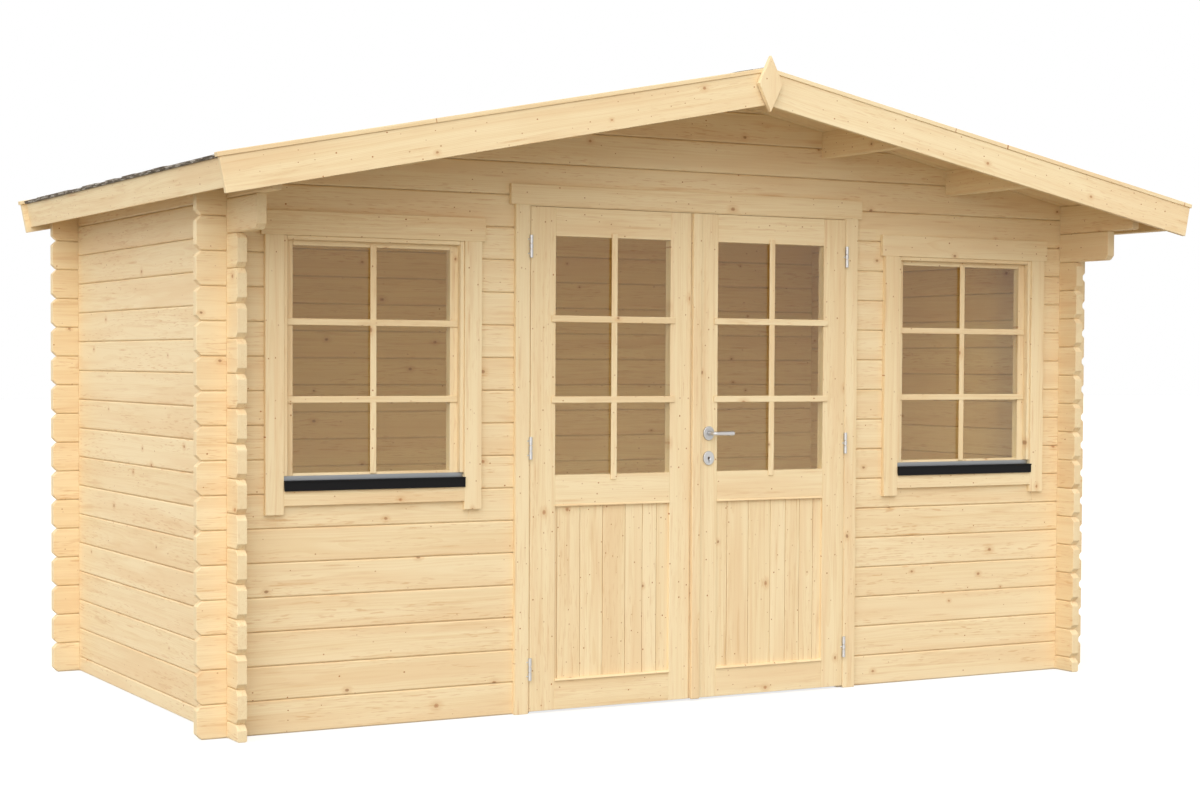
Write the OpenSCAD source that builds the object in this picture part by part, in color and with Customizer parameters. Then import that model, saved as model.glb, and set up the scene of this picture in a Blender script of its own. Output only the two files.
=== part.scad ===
// Garden shed: a small log cabin with a low gable roof, two windows and a double door

/* [Overall] */
// Width over the outer faces of the side walls
house_w = 3620; // [2800:10:4400]
// Depth over the outer faces of the front and back walls
house_d = 1820; // [1500:10:3000]
// Roof slope in degrees
pitch = 11.2; // [8:0.1:20]

/* [Logs] */
// Height of one log course
log_h = 116; // [95:1:140]
// Thickness of a log
log_t = 34; // [28:1:50]
// Full courses below the gable
courses = 16; // [15:1:17]
// How far crossed log ends stand out at the corners
log_out = 104; // [60:1:140]
// Chamfer on the corners of a log end
tip_chamfer = 19; // [8:1:24]
// Depth of the joint groove between two courses
groove = 4; // [2:0.5:6]

/* [Roof] */
// Front overhang, to the face of the bargeboard
front_over = 500; // [300:5:700]
// Rear overhang, to the face of the bargeboard
rear_over = 104; // [80:1:300]
// Side overhang of the eave boards at the underside of the deck
side_over = 175; // [120:5:300]
// Thickness of the deck boards
deck_t = 18; // [16:1:24]
// Thickness of the shingle layers
shingle_t = 14; // [8:1:14]
// Bargeboard height
barge_h = 114; // [90:1:150]
// Bargeboard and eave board thickness
barge_t = 18; // [16:1:24]
// Eave board height
eave_h = 95; // [70:1:110]
// Cover lath width
lath_w = 30; // [24:1:60]
// Cover lath thickness
lath_t = 15; // [10:1:20]
// Purlin width
purlin_w = 44; // [38:1:60]
// Purlin height below the deck at its upper edge
purlin_h = 98; // [80:1:110]
// Finial width
finial_w = 100; // [80:1:130]
// Finial height
finial_h = 198; // [150:1:260]
// Finial thickness
finial_t = 18; // [14:1:24]

/* [Door] */
// Width of one leaf
leaf_w = 680; // [550:2:760]
// Thickness of a leaf
leaf_t = 38; // [34:1:45]
// Width of the stiles
stile_w = 100; // [80:1:120]
// Lowest edge of the leaves above the ground
leaf_z = 8; // [6:1:20]
// Height of the bottom rail
bottom_rail = 112; // [60:1:130]
// Height of the middle rail
middle_rail = 113; // [80:1:125]
// Height of the glass opening of a leaf
leaf_glass_h = 858; // [700:2:950]
// Height of the top rail
top_rail = 103; // [80:1:120]
// Frame board thickness at the sides
jamb_t = 28; // [22:1:40]
// Gap between a leaf and the frame
leaf_gap = 5.5; // [5.5:0.5:8]
// Gap between the two leaves
meet_gap = 7; // [7:0.5:10]
// Height of the lever handle above the ground
handle_z = 999; // [900:5:1080]

/* [Windows] */
// Distance from a side wall's outer face to the window's middle
window_x = 531; // [520:1:560]
// Clear width between the casings of a window
window_w = 672; // [560:2:680]
// Clear height of a window frame
window_h = 852; // [700:2:900]
// Distance from the gable's lowest joint down to the top of the clear height
window_drop = 172; // [150:1:220]
// Width of the side casings
casing_w = 66; // [50:1:70]

/* [Hidden] */

wood = "burlywood";
eps = 1;                                    // cutters run this far past a face
seat = 0.3;                                 // clearance of a piece in its seat
mid_x = house_w / 2;

// heights of the walls
gable_z = courses * log_h;                  // lowest joint of the gable
side_top = (courses + 0.5) * log_h;         // inner top edge of the side walls
tan_p = tan(pitch);
cos_p = cos(pitch);
sin_p = sin(pitch);

// underside of the deck above a point x, measured from the left wall's outer face
function under(x) = side_top + (min(x, house_w - x) - log_t) * tan_p;
ridge_z = under(mid_x);

// roof layers, square to the slope, counted from the underside of the deck
deck_top = deck_t;
shingle_top = deck_top + shingle_t;
lath_top = deck_top + lath_t;
cap_t = 4;
cap_w = 110;
drip_edge = 10;                             // shingles past the eave board
barge_end = 20;                             // bargeboards past the eave boards
lath_end = 6;                               // laths past the bargeboards
lath_proud = 4;
slope_fit = 0.05;                           // hairline between layers that lie on each other along the slope
purlin_x = 583;                             // from the ridge to the near face of the first purlin
purlin_step = 598;
roof_front = -(front_over - barge_t);       // front face of deck, purlins and eave boards
roof_back = house_d + rear_over - barge_t;
shingle_front = -front_over - lath_proud + lath_w + seat;   // shingles and cap lie between the cover laths
shingle_back = house_d + rear_over + lath_proud - lath_w - seat;
top_log_out = 425;                          // top log of the side walls, at the front
corbel_out = 286;                           // second log from the top, at the front
corbel_cut = 19;                            // chamfer below its end
gable_lap = 0.25;                           // a crossed log keeps the middle half of its height

// floor
bearer_h = 45;
bearer_w = 60;
bearers = 7;
board_t = 19;
floor_z = bearer_h + board_t;
floor_gap = 4;

// door opening, measured from the middle of the front wall
leaf_zone = meet_gap / 2 + leaf_w + leaf_gap;   // inner face of the frame
door_half = leaf_zone + jamb_t;                 // cut in the wall
casing_t = 18;
door_casing_w = 54;
door_casing_h = 72;
ear = 20;
head_z = gable_z - 34;                          // underside of the frame's head
leaf_top = head_z - leaf_gap;
face_y = -casing_t;                             // outer face of casings and leaves
leaf_lip = 15;                                  // front part of a leaf, which laps over the stop
leaf_step = 14;                                 // how far the part behind it lies back, at the hinges and at the top
stop_y = face_y + leaf_lip + leaf_gap;
stop_in = leaf_step;
threshold_y = face_y + leaf_t + leaf_gap;      // front of the threshold
frame_y = 60;                                   // inner face of the door frame
leaf_h = leaf_top - leaf_z;
glass_top = leaf_top - top_rail;
glass_bottom = glass_top - leaf_glass_h;
panel_top = glass_bottom - middle_rail;
panel_bottom = leaf_z + bottom_rail;
rebate = 10;
glass_t = 4;
glass_y = face_y + 5;
panel_t = 14;
panel_y = face_y + 8;
drip_mould_h = 8;                              // strip that sheds rain below the panel
drip_mould_t = 7;
strip_w = 38;
strip_t = 12;
meet_shift = 15;                                // the leaves meet this far to the left of the middle

// hinges: outer knuckles on the frame, the middle one on the leaf, each with a dowel drilled in aslant
hinge_r = 6.5;
hinge_l = 80;
knuckle = 0.36;                                 // height of an outer knuckle, as a share of the hinge
pin_r = 3;
pin_gap = 0.06;
knuckle_gap = 3;
dowel_r = 2.5;
dowel_l = 28;                                   // from the middle of the hinge
dowel_gap = 0.08;
dowel_turn = 45;                                // from the leaf's face
hinge_x = leaf_zone - leaf_gap / 2;             // from the middle of the door
hinge_y = face_y - hinge_r - 0.5;
hinge_zs = [leaf_z + 153, leaf_z + (leaf_h) * 0.523, leaf_top - 143];

// lever handle
rose_w = 47;
rose_h = 53;
rose_t = 7;
rose_x = 64;                                    // from the middle of the door
key_drop = 93;
key_r = 4;                                      // keyhole: a round head over a slot
key_slot = 3.2;
key_foot = 12;
neck_r = 7;
neck_gap = 0.08;
bend_r = 11;                                    // middle line of the lever's bend
lever_r = 9;                                    // at the rounded end
lever_l = 90;
lever_out = 43;                                 // from the leaf's face to the lever's middle
spindle_r = 4;
spindle_hole = 10;

// windows
win_top = gable_z - window_drop;
win_bottom = win_top - window_h;
lining_t = 24;
lining_y = 52;
sash_y = 14;
sash_t = 34;
sash_fit = 0.3;
sash_side = 43;
sash_head = 32;
sash_foot = 48;
win_glass_y = 19;
bead_w = 15;                                    // bead between the casings and the sash
bead_y = -12;
top_casing_h = 82;
win_ear = 14;
side_drop = 90;                                 // side casings below the clear height
foot_casing_h = 54;
foot_casing_z = win_bottom - 60;
drip_z = win_bottom - 10;
drip_h = 35;
lip_t = 4;
lip_y = -26;
nose_t = 3;                                     // wider edge at the top of the drip
nose_h = 5;
flange_t = 3;
sill_h = 15;
sill_y = 0;

// the origin lies under the middle of the outer box
back_y = house_d + rear_over + lath_proud;
front_y = -(front_over + lath_proud + finial_t);
shift_y = -(front_y + back_y) / 2;

module place() { translate([-mid_x, shift_y, 0]) children(); }

// a flat outline in x and z, extruded in y from y0 to y1
module slab_y(y0, y1) { translate([0, y1, 0]) rotate([90, 0, 0]) linear_extrude(height = y1 - y0) children(); }

// a flat outline in y and z, extruded in x from x0 to x1
module slab_x(x0, x1) { translate([x0, 0, 0]) rotate([90, 0, 90]) linear_extrude(height = x1 - x0) children(); }

// a rod along y from y0 to y1
module rod_y(r, y0, y1) { translate([0, y1, 0]) rotate([90, 0, 0]) cylinder(r = r, h = y1 - y0, $fn = 48); }

// the same piece on the right-hand side
module other_side() { translate([house_w, 0, 0]) mirror([1, 0, 0]) children(); }

// a rectangle in a flat outline
module rect(a, b, c, d) { translate([a, c]) square([b - a, d - c]); }

// ---------- log walls ----------

// section of a log wall: flat faces with a V groove at each joint, joints start at first and end below top
function side_line(x, dir, first, top) =
    [for (z = [first : log_h : top - eps]) each [[x, z - groove], [x - dir * groove, z], [x, z + groove]]];

module wall_section(x0, x1, z0, first, top0, top1) {
    left = side_line(x0, -1, first, min(top0, top1));
    right = side_line(x1, 1, first, min(top0, top1));
    n = len(right);
    polygon(concat([[x0, z0]], left, [[x0, top0], [x1, top1]], [for (i = [n - 1 : -1 : 0]) right[i]], [[x1, z0]]));
}

// diamond cuts that chamfer the log ends at every joint
module tip_cuts(x, first, top) {
    for (z = [first : log_h : top + eps])
        translate([x, z]) polygon([[-tip_chamfer, 0], [0, tip_chamfer], [tip_chamfer, 0], [0, -tip_chamfer]]);
}

// room for the crossing logs in a corner column
module lap_cuts(x, first, top) {
    for (z = [first : log_h : top])
        rect(x, x + log_t, z - gable_lap * log_h, z + gable_lap * log_h);
}

module window_cut() {
    rect(window_x - window_w / 2 - lining_t, window_x + window_w / 2 + lining_t, win_bottom - lining_t, win_top + lining_t);
}

module front_wall_left() {
    color(wood) place() intersection() {
        slab_x(-log_out - eps, mid_x) wall_section(0, log_t, 0, log_h, gable_z, gable_z);
        slab_y(-eps, log_t + eps) difference() {
            rect(-log_out, mid_x - door_half, 0, gable_z);
            tip_cuts(-log_out, 0, gable_z);
            lap_cuts(0, 0, gable_z);
            window_cut();
        }
    }
}

module front_wall_right() {
    color(wood) place() intersection() {
        slab_x(mid_x, house_w + log_out + eps) wall_section(0, log_t, 0, log_h, gable_z, gable_z);
        slab_y(-eps, log_t + eps) difference() {
            rect(mid_x + door_half, house_w + log_out, 0, gable_z);
            tip_cuts(house_w + log_out, 0, gable_z);
            lap_cuts(house_w - log_t, 0, gable_z);
            translate([house_w, 0]) mirror([1, 0]) window_cut();
        }
    }
}

module purlin_outline(x) {
    polygon([[x, under(x)], [x + purlin_w, under(x + purlin_w)],
        [x + purlin_w, under(x + purlin_w) - purlin_h], [x, under(x + purlin_w) - purlin_h]]);
}

function purlin_xs() = [for (i = [0 : 1]) mid_x - purlin_x - i * purlin_step - purlin_w];

module purlin_outlines() {
    for (x = purlin_xs()) {
        purlin_outline(x);
        translate([house_w, 0]) mirror([1, 0]) purlin_outline(x);
    }
}

// room for the purlins, open to the deck
module purlin_cuts() {
    for (x = purlin_xs()) {
        rect(x, x + purlin_w, under(x + purlin_w) - purlin_h, ridge_z);
        rect(house_w - x - purlin_w, house_w - x, under(x + purlin_w) - purlin_h, ridge_z);
    }
}

module gable_outline(z0) {
    polygon([[0, z0], [0, under(0)], [mid_x, ridge_z], [house_w, under(0)], [house_w, z0]]);
}

module front_gable() {
    color(wood) place() intersection() {
        slab_x(-eps, house_w + eps) wall_section(0, log_t, gable_z, gable_z + log_h, ridge_z + eps, ridge_z + eps);
        slab_y(-eps, log_t + eps) difference() {
            gable_outline(gable_z);
            purlin_cuts();
            lap_cuts(0, gable_z, gable_z);
            lap_cuts(house_w - log_t, gable_z, gable_z);
        }
    }
}

module back_wall() {
    color(wood) place() intersection() {
        slab_x(-log_out - eps, house_w + log_out + eps)
            wall_section(house_d - log_t, house_d, 0, log_h, ridge_z + eps, ridge_z + eps);
        slab_y(house_d - log_t - eps, house_d + eps) difference() {
            polygon([[-log_out, 0], [-log_out, gable_z], [0, gable_z], [0, under(0)], [mid_x, ridge_z],
                [house_w, under(0)], [house_w, gable_z], [house_w + log_out, gable_z], [house_w + log_out, 0]]);
            tip_cuts(-log_out, 0, gable_z);
            tip_cuts(house_w + log_out, 0, gable_z);
            lap_cuts(0, 0, gable_z);
            lap_cuts(house_w - log_t, 0, gable_z);
            purlin_cuts();
        }
    }
}

// side walls start with half a log, so their joints lie half a course off
module side_outline() {
    second_z = side_top - 2 * log_h;
    top_z = side_top - log_h;
    difference() {
        union() {
            rect(-log_out, house_d + log_out, 0, top_z);
            rect(-corbel_out, 0, second_z, top_z);
            rect(-top_log_out, roof_back, top_z, side_top);
        }
        tip_cuts(-log_out, log_h / 2, second_z - log_h);
        tip_cuts(house_d + log_out, log_h / 2, top_z);
        translate([-log_out, second_z]) polygon([[-eps, 0], [tip_chamfer, 0], [0, -tip_chamfer], [-eps, -tip_chamfer]]);
        translate([-corbel_out, second_z]) polygon([[-eps, -eps], [corbel_cut, -eps], [corbel_cut, 0], [0, corbel_cut], [-eps, corbel_cut]]);
        lap_cuts(0, log_h / 2, side_top);
        lap_cuts(house_d - log_t, log_h / 2, side_top);
    }
}

module side_wall() {
    intersection() {
        slab_y(-top_log_out - eps, house_d + log_out + eps) wall_section(0, log_t, 0, log_h / 2, under(0), side_top);
        slab_x(-eps, log_t + eps) side_outline();
    }
}

module left_wall() { color(wood) place() side_wall(); }

module right_wall() { color(wood) place() other_side() side_wall(); }

// ---------- floor ----------

module floor_bearers() {
    span = house_w - 2 * log_t - bearer_w - 2 * floor_gap;
    color(wood) place()
        for (i = [0 : bearers - 1])
            translate([log_t + floor_gap + i * span / (bearers - 1), frame_y + floor_gap, 0])
                cube([bearer_w, house_d - log_t - frame_y - 2 * floor_gap, bearer_h]);
}

module floor_boards() {
    color(wood) place() translate([0, 0, bearer_h]) linear_extrude(height = board_t) difference() {
        rect(log_t + seat, house_w - log_t - seat, log_t + seat, house_d - log_t - seat);
        rect(mid_x - door_half - seat, mid_x + door_half + seat, 0, frame_y + seat);
    }
}

// ---------- roof ----------

// a board along the left slope between two heights above the deck's underside, cut square past the eave by out
// and upright at the ridge
module slope_outline(v0, v1, out) {
    ex = -side_over - out * cos_p;
    ez = under(-side_over) - out * sin_p;
    polygon([[ex - v0 * sin_p, ez + v0 * cos_p], [ex - v1 * sin_p, ez + v1 * cos_p],
        [mid_x, ridge_z + v1 / cos_p], [mid_x, ridge_z + v0 / cos_p]]);
}

module purlins() { color(wood) place() slab_y(roof_front, roof_back) purlin_outlines(); }

module roof_deck() { slab_y(roof_front, roof_back) slope_outline(slope_fit, deck_top, -barge_t - slope_fit); }

module roof_deck_left() { color(wood) place() roof_deck(); }

module roof_deck_right() { color(wood) place() other_side() roof_deck(); }

module shingles() { slab_y(shingle_front, shingle_back) slope_outline(deck_top + slope_fit, shingle_top, drip_edge); }

module shingles_left() { color("dimgray") place() shingles(); }

module shingles_right() { color("dimgray") place() other_side() shingles(); }

// cap over the ridge
module ridge_cap() {
    v0 = ridge_z + (shingle_top + slope_fit) / cos_p;
    v1 = v0 + cap_t / cos_p;
    fall = cap_w * sin_p;
    run = cap_w * cos_p;
    color("dimgray") place() slab_y(shingle_front, shingle_back)
        polygon([[mid_x, v0], [mid_x - run, v0 - fall], [mid_x - run - cap_t * sin_p, v0 - fall + cap_t * cos_p], [mid_x, v1],
            [mid_x + run + cap_t * sin_p, v0 - fall + cap_t * cos_p], [mid_x + run, v0 - fall]]);
}

module bargeboard(y0) { slab_y(y0, y0 + barge_t) slope_outline(deck_top - barge_h, deck_top, barge_end); }

module front_bargeboard_left() { color(wood) place() bargeboard(-front_over); }

module front_bargeboard_right() { color(wood) place() other_side() bargeboard(-front_over); }

module rear_bargeboard_left() { color(wood) place() bargeboard(roof_back); }

module rear_bargeboard_right() { color(wood) place() other_side() bargeboard(roof_back); }

module cover_laths(y0) {
    slab_y(y0, y0 + lath_w) {
        slope_outline(deck_top + slope_fit, lath_top, barge_end + lath_end);
        translate([house_w, 0]) mirror([1, 0]) slope_outline(deck_top + slope_fit, lath_top, barge_end + lath_end);
    }
}

module front_cover_laths() { color(wood) place() cover_laths(-front_over - lath_proud); }

module rear_cover_laths() { color(wood) place() cover_laths(back_y - lath_w); }

// fascia below the shingles, square to the slope
module eave_board() {
    ex = -side_over;
    ez = under(-side_over);
    slab_y(roof_front, roof_back)
        polygon([for (c = [[0, deck_top], [barge_t, deck_top], [barge_t, deck_top - eave_h], [0, deck_top - eave_h]])
            [ex + c[0] * cos_p - c[1] * sin_p, ez + c[0] * sin_p + c[1] * cos_p]]);
}

module eave_board_left() { color(wood) place() eave_board(); }

module eave_board_right() { color(wood) place() other_side() eave_board(); }

module finial() {
    mid_z = ridge_z + lath_top / cos_p + 40 - finial_h / 2;
    color(wood) place() slab_y(front_y, front_y + finial_t)
        translate([mid_x, mid_z]) polygon([[0, -finial_h / 2], [finial_w / 2, 0], [0, finial_h / 2], [-finial_w / 2, 0]]);
}

// ---------- door frame ----------

module frame_outline(in) {
    difference() {
        rect(mid_x - door_half, mid_x + door_half, 0, gable_z);
        rect(mid_x - leaf_zone + in, mid_x + leaf_zone - in, -eps, head_z - in);
    }
}

module door_frame() {
    color(wood) place() {
        slab_y(0, frame_y) frame_outline(0);
        slab_y(stop_y, frame_y) frame_outline(stop_in);
    }
}

module threshold() {
    x0 = mid_x - leaf_zone + stop_in;
    color(wood) place() slab_y(threshold_y, frame_y) rect(x0, house_w - x0, 0, floor_z);
}

module side_casing() {
    x0 = mid_x - leaf_zone;
    difference() {
        slab_y(face_y, 0) rect(x0 - door_casing_w, x0, 0, head_z);
        frame_hinge_holes();
    }
}

module door_casing() {
    reach = leaf_zone + door_casing_w + ear;
    color(wood) place() {
        side_casing();
        other_side() side_casing();
        slab_y(face_y, 0) rect(mid_x - reach, mid_x + reach, head_z, head_z + door_casing_h);
    }
}

// ---------- windows ----------

module window_casing() {
    x0 = window_x - window_w / 2;
    x1 = window_x + window_w / 2;
    slab_y(face_y, 0) {
        rect(x0 - casing_w, x0, win_bottom - side_drop, win_top);
        rect(x1, x1 + casing_w, win_bottom - side_drop, win_top);
        rect(x0 - casing_w - win_ear, x1 + casing_w + win_ear, win_top, win_top + top_casing_h);
        rect(x0, x1, foot_casing_z, foot_casing_z + foot_casing_h);
    }
}

module left_window_casing() { color(wood) place() window_casing(); }

module right_window_casing() { color(wood) place() other_side() window_casing(); }

// lining in the wall, with a bead in front of the sash
module window_frame() {
    x0 = window_x - window_w / 2;
    x1 = window_x + window_w / 2;
    slab_y(0, lining_y) difference() {
        rect(x0 - lining_t, x1 + lining_t, win_bottom - lining_t, win_top + lining_t);
        rect(x0, x1, win_bottom, win_top);
    }
    slab_y(bead_y, sash_y - seat) difference() {
        rect(x0, x1, drip_z + drip_h + sill_h, win_top);
        rect(x0 + bead_w, x1 - bead_w, drip_z, win_top - bead_w);
    }
}

module left_window_frame() { color(wood) place() window_frame(); }

module right_window_frame() { color(wood) place() other_side() window_frame(); }

module sash() {
    x0 = window_x - window_w / 2 + sash_fit;
    x1 = window_x + window_w / 2 - sash_fit;
    z0 = win_bottom + sash_fit;
    z1 = win_top - sash_fit;
    difference() {
        slab_y(sash_y, sash_y + sash_t) difference() {
            rect(x0, x1, z0, z1);
            rect(x0 + sash_side, x1 - sash_side, z0 + sash_foot, z1 - sash_head);
        }
        slab_y(win_glass_y - seat, win_glass_y + glass_t + seat)
            rect(x0 + sash_side - rebate, x1 - sash_side + rebate, z0 + sash_foot - rebate, z1 - sash_head + rebate);
    }
}

module left_window_sash() { color(wood) place() sash(); }

module right_window_sash() { color(wood) place() other_side() sash(); }

module window_pane() {
    x0 = window_x - window_w / 2 + sash_fit + sash_side - rebate + seat;
    x1 = window_x + window_w / 2 - sash_fit - sash_side + rebate - seat;
    slab_y(win_glass_y, win_glass_y + glass_t)
        rect(x0, x1, win_bottom + sash_fit + sash_foot - rebate + seat, win_top - sash_fit - sash_head + rebate - seat);
}

module window_glass() {
    color("lightcyan", 0.4) place() {
        window_pane();
        other_side() window_pane();
    }
}

// thin bent strip: a front lip with a nose, and a flange back to the sash
module bent_strip(y0, z0, h, lip, nose) {
    x0 = window_x - window_w / 2 + sash_fit;
    x1 = window_x + window_w / 2 - sash_fit;
    slab_x(x0, x1) {
        rect(y0, y0 + lip, z0, z0 + h);
        rect(y0 - nose, y0 + lip, z0 + h - nose_h, z0 + h);
        rect(y0, sash_y, z0 + h - flange_t, z0 + h);
    }
}

module window_sill() { bent_strip(sill_y, drip_z + drip_h, sill_h, flange_t, 0); }

module window_sills() {
    color("silver") place() {
        window_sill();
        other_side() window_sill();
    }
}

module window_drip() { bent_strip(lip_y, drip_z, drip_h, lip_t, nose_t); }

module window_drips() {
    color("black") place() {
        window_drip();
        other_side() window_drip();
    }
}

// ---------- hinges ----------

// dowel from the middle of a hinge into the wood, at a height above its foot, towards dir in x
module dowel(dir, z, r) {
    translate([0, 0, z]) rotate([0, 90, dir < 0 ? 180 - dowel_turn : dowel_turn]) cylinder(r = r, h = dowel_l, $fn = 48);
}

// outer knuckles of a hinge on the left of the door, with the pin that joins them
module frame_hinge(z) {
    translate([mid_x - hinge_x, hinge_y, z - hinge_l / 2]) {
        for (foot = [0, hinge_l * (1 - knuckle)]) {
            translate([0, 0, foot]) cylinder(r = hinge_r, h = hinge_l * knuckle, $fn = 48);
            dowel(-1, foot + hinge_l * knuckle / 2, dowel_r);
        }
        cylinder(r = pin_r, h = hinge_l, $fn = 48);
    }
}

// middle knuckle
module leaf_hinge(z) {
    h = hinge_l * (1 - 2 * knuckle) - 2 * knuckle_gap;
    translate([mid_x - hinge_x, hinge_y, z - h / 2]) difference() {
        union() {
            cylinder(r = hinge_r, h = h, $fn = 48);
            dowel(1, h / 2, dowel_r);
        }
        translate([0, 0, -eps]) cylinder(r = pin_r + pin_gap, h = h + 2 * eps, $fn = 48);
    }
}

// holes for the dowels in the casing and in the leaf
module frame_hinge_holes() {
    for (z = hinge_zs, up = [-1, 1])
        translate([mid_x - hinge_x, hinge_y, z + up * hinge_l * (1 - knuckle) / 2]) dowel(-1, 0, dowel_r + dowel_gap);
}

module leaf_hinge_holes() {
    for (z = hinge_zs) translate([mid_x - hinge_x, hinge_y, z]) dowel(1, 0, dowel_r + dowel_gap);
}

module frame_hinges() {
    color("silver") place() {
        for (z = hinge_zs) frame_hinge(z);
        other_side() for (z = hinge_zs) frame_hinge(z);
    }
}

module left_leaf_hinges() { color("silver") place() for (z = hinge_zs) leaf_hinge(z); }

module right_leaf_hinges() { color("silver") place() other_side() for (z = hinge_zs) leaf_hinge(z); }

// ---------- door leaves ----------

// left leaf; its free stile is wider by extra, to where the leaves meet
module leaf_frame(extra) {
    x1 = mid_x - meet_gap / 2;
    x0 = x1 - leaf_w;
    difference() {
        union() {
            slab_y(face_y, face_y + leaf_t) difference() {
                rect(x0, x1 + extra, leaf_z, leaf_top);
                rect(x0 + stile_w, x1 - stile_w, panel_bottom, panel_top);
                rect(x0 + stile_w, x1 - stile_w, glass_bottom, glass_top);
            }
            slab_y(face_y - drip_mould_t, face_y + eps) rect(x0 + stile_w, x1 - stile_w, panel_bottom - drip_mould_h, panel_bottom);
        }
        slab_y(face_y + leaf_lip, face_y + leaf_t + eps) {
            rect(x0 - eps, x0 + leaf_step, leaf_z - eps, leaf_top + eps);
            rect(x0, x1 + extra + eps, leaf_top - leaf_step, leaf_top + eps);
        }
        slab_y(glass_y - seat, glass_y + glass_t + seat)
            rect(x0 + stile_w - rebate, x1 - stile_w + rebate, glass_bottom - rebate, glass_top + rebate);
        slab_y(panel_y - seat, panel_y + panel_t + seat)
            rect(x0 + stile_w - rebate, x1 - stile_w + rebate, panel_bottom - rebate, panel_top + rebate);
        leaf_hinge_holes();
    }
}

module leaf_panel() {
    x1 = mid_x - meet_gap / 2 - stile_w + rebate - seat;
    x0 = mid_x - meet_gap / 2 - leaf_w + stile_w - rebate + seat;
    slab_y(panel_y, panel_y + panel_t) rect(x0, x1, panel_bottom - rebate + seat, panel_top + rebate - seat);
}

module leaf_glass() {
    x1 = mid_x - meet_gap / 2 - stile_w + rebate - seat;
    x0 = mid_x - meet_gap / 2 - leaf_w + stile_w - rebate + seat;
    slab_y(glass_y, glass_y + glass_t) rect(x0, x1, glass_bottom - rebate + seat, glass_top + rebate - seat);
}

module left_leaf_frame() { color(wood) place() leaf_frame(-meet_shift); }

module left_leaf_panel() { color(wood) place() leaf_panel(); }

module left_leaf_glass() { color("lightcyan", 0.4) place() leaf_glass(); }

module right_leaf_frame() {
    color(wood) place() difference() {
        other_side() leaf_frame(meet_shift);
        translate([mid_x + rose_x, 0, handle_z]) {
            rod_y(spindle_hole, face_y - eps, face_y + leaf_t + eps);
            translate([0, 0, -key_drop]) slab_y(face_y - eps, face_y + leaf_t + eps) keyhole();
        }
    }
}

module right_leaf_panel() { color(wood) place() other_side() leaf_panel(); }

module right_leaf_glass() { color("lightcyan", 0.4) place() other_side() leaf_glass(); }

// cover strip on the meeting edge of the right leaf
module meeting_strip() {
    x0 = mid_x + meet_gap / 2 - meet_shift;
    color(wood) place() slab_y(face_y - strip_t, face_y) rect(x0, x0 + strip_w, leaf_z - 2, leaf_top);
}

// ---------- lever handle ----------

module keyhole() {
    circle(r = key_r, $fn = 32);
    rect(-key_slot / 2, key_slot / 2, -key_foot, 0);
}

module rose_outline() {
    polygon([for (a = [0 : 7.5 : 359]) [rose_w / 2 * cos(a), rose_h / 2 * sin(a)]]);
}

// roses for the lever and the key on both faces of the right leaf
module door_roses() {
    color("silver") place() translate([mid_x + rose_x, 0, handle_z])
        for (y0 = [face_y - rose_t, face_y + leaf_t]) {
            difference() {
                slab_y(y0, y0 + rose_t) rose_outline();
                rod_y(neck_r + neck_gap, y0 - eps, y0 + rose_t + eps);
            }
            translate([0, 0, -key_drop]) slab_y(y0, y0 + rose_t) difference() {
                rose_outline();
                keyhole();
            }
        }
}

// one lever on the outer face: neck, a bend and a grip that thickens to its rounded end, pointing towards the hinges
module lever() {
    y_grip = face_y - lever_out;
    grip_l = lever_l - lever_r - bend_r;
    rod_y(neck_r, y_grip + bend_r, face_y);
    translate([bend_r, y_grip + bend_r, 0]) rotate([0, 0, 180])
        rotate_extrude(angle = 90, $fn = 96) translate([bend_r, 0]) circle(r = neck_r, $fn = 48);
    translate([bend_r, y_grip, 0]) {
        rotate([0, 90, 0]) cylinder(r1 = neck_r, r2 = lever_r, h = grip_l, $fn = 48);
        translate([grip_l, 0, 0]) sphere(r = lever_r, $fn = 48);
    }
}

module lever_handle() {
    color("silver") place() translate([mid_x + rose_x, 0, handle_z]) {
        lever();
        translate([0, 2 * face_y + leaf_t, 0]) mirror([0, 1, 0]) lever();
        rod_y(spindle_r, face_y - eps, face_y + leaf_t + eps);
    }
}

floor_bearers();
floor_boards();
front_wall_left();
front_wall_right();
front_gable();
left_wall();
right_wall();
back_wall();
purlins();
roof_deck_left();
roof_deck_right();
shingles_left();
shingles_right();
ridge_cap();
front_bargeboard_left();
front_bargeboard_right();
rear_bargeboard_left();
rear_bargeboard_right();
front_cover_laths();
rear_cover_laths();
eave_board_left();
eave_board_right();
finial();
door_frame();
threshold();
door_casing();
left_window_casing();
right_window_casing();
left_window_frame();
right_window_frame();
left_window_sash();
right_window_sash();
window_glass();
window_sills();
window_drips();
frame_hinges();
left_leaf_frame();
left_leaf_panel();
left_leaf_glass();
left_leaf_hinges();
right_leaf_frame();
right_leaf_panel();
right_leaf_glass();
right_leaf_hinges();
meeting_strip();
door_roses();
lever_handle();
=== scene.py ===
import math
import random
import bpy
import bmesh
from mathutils import Matrix, Vector


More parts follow.
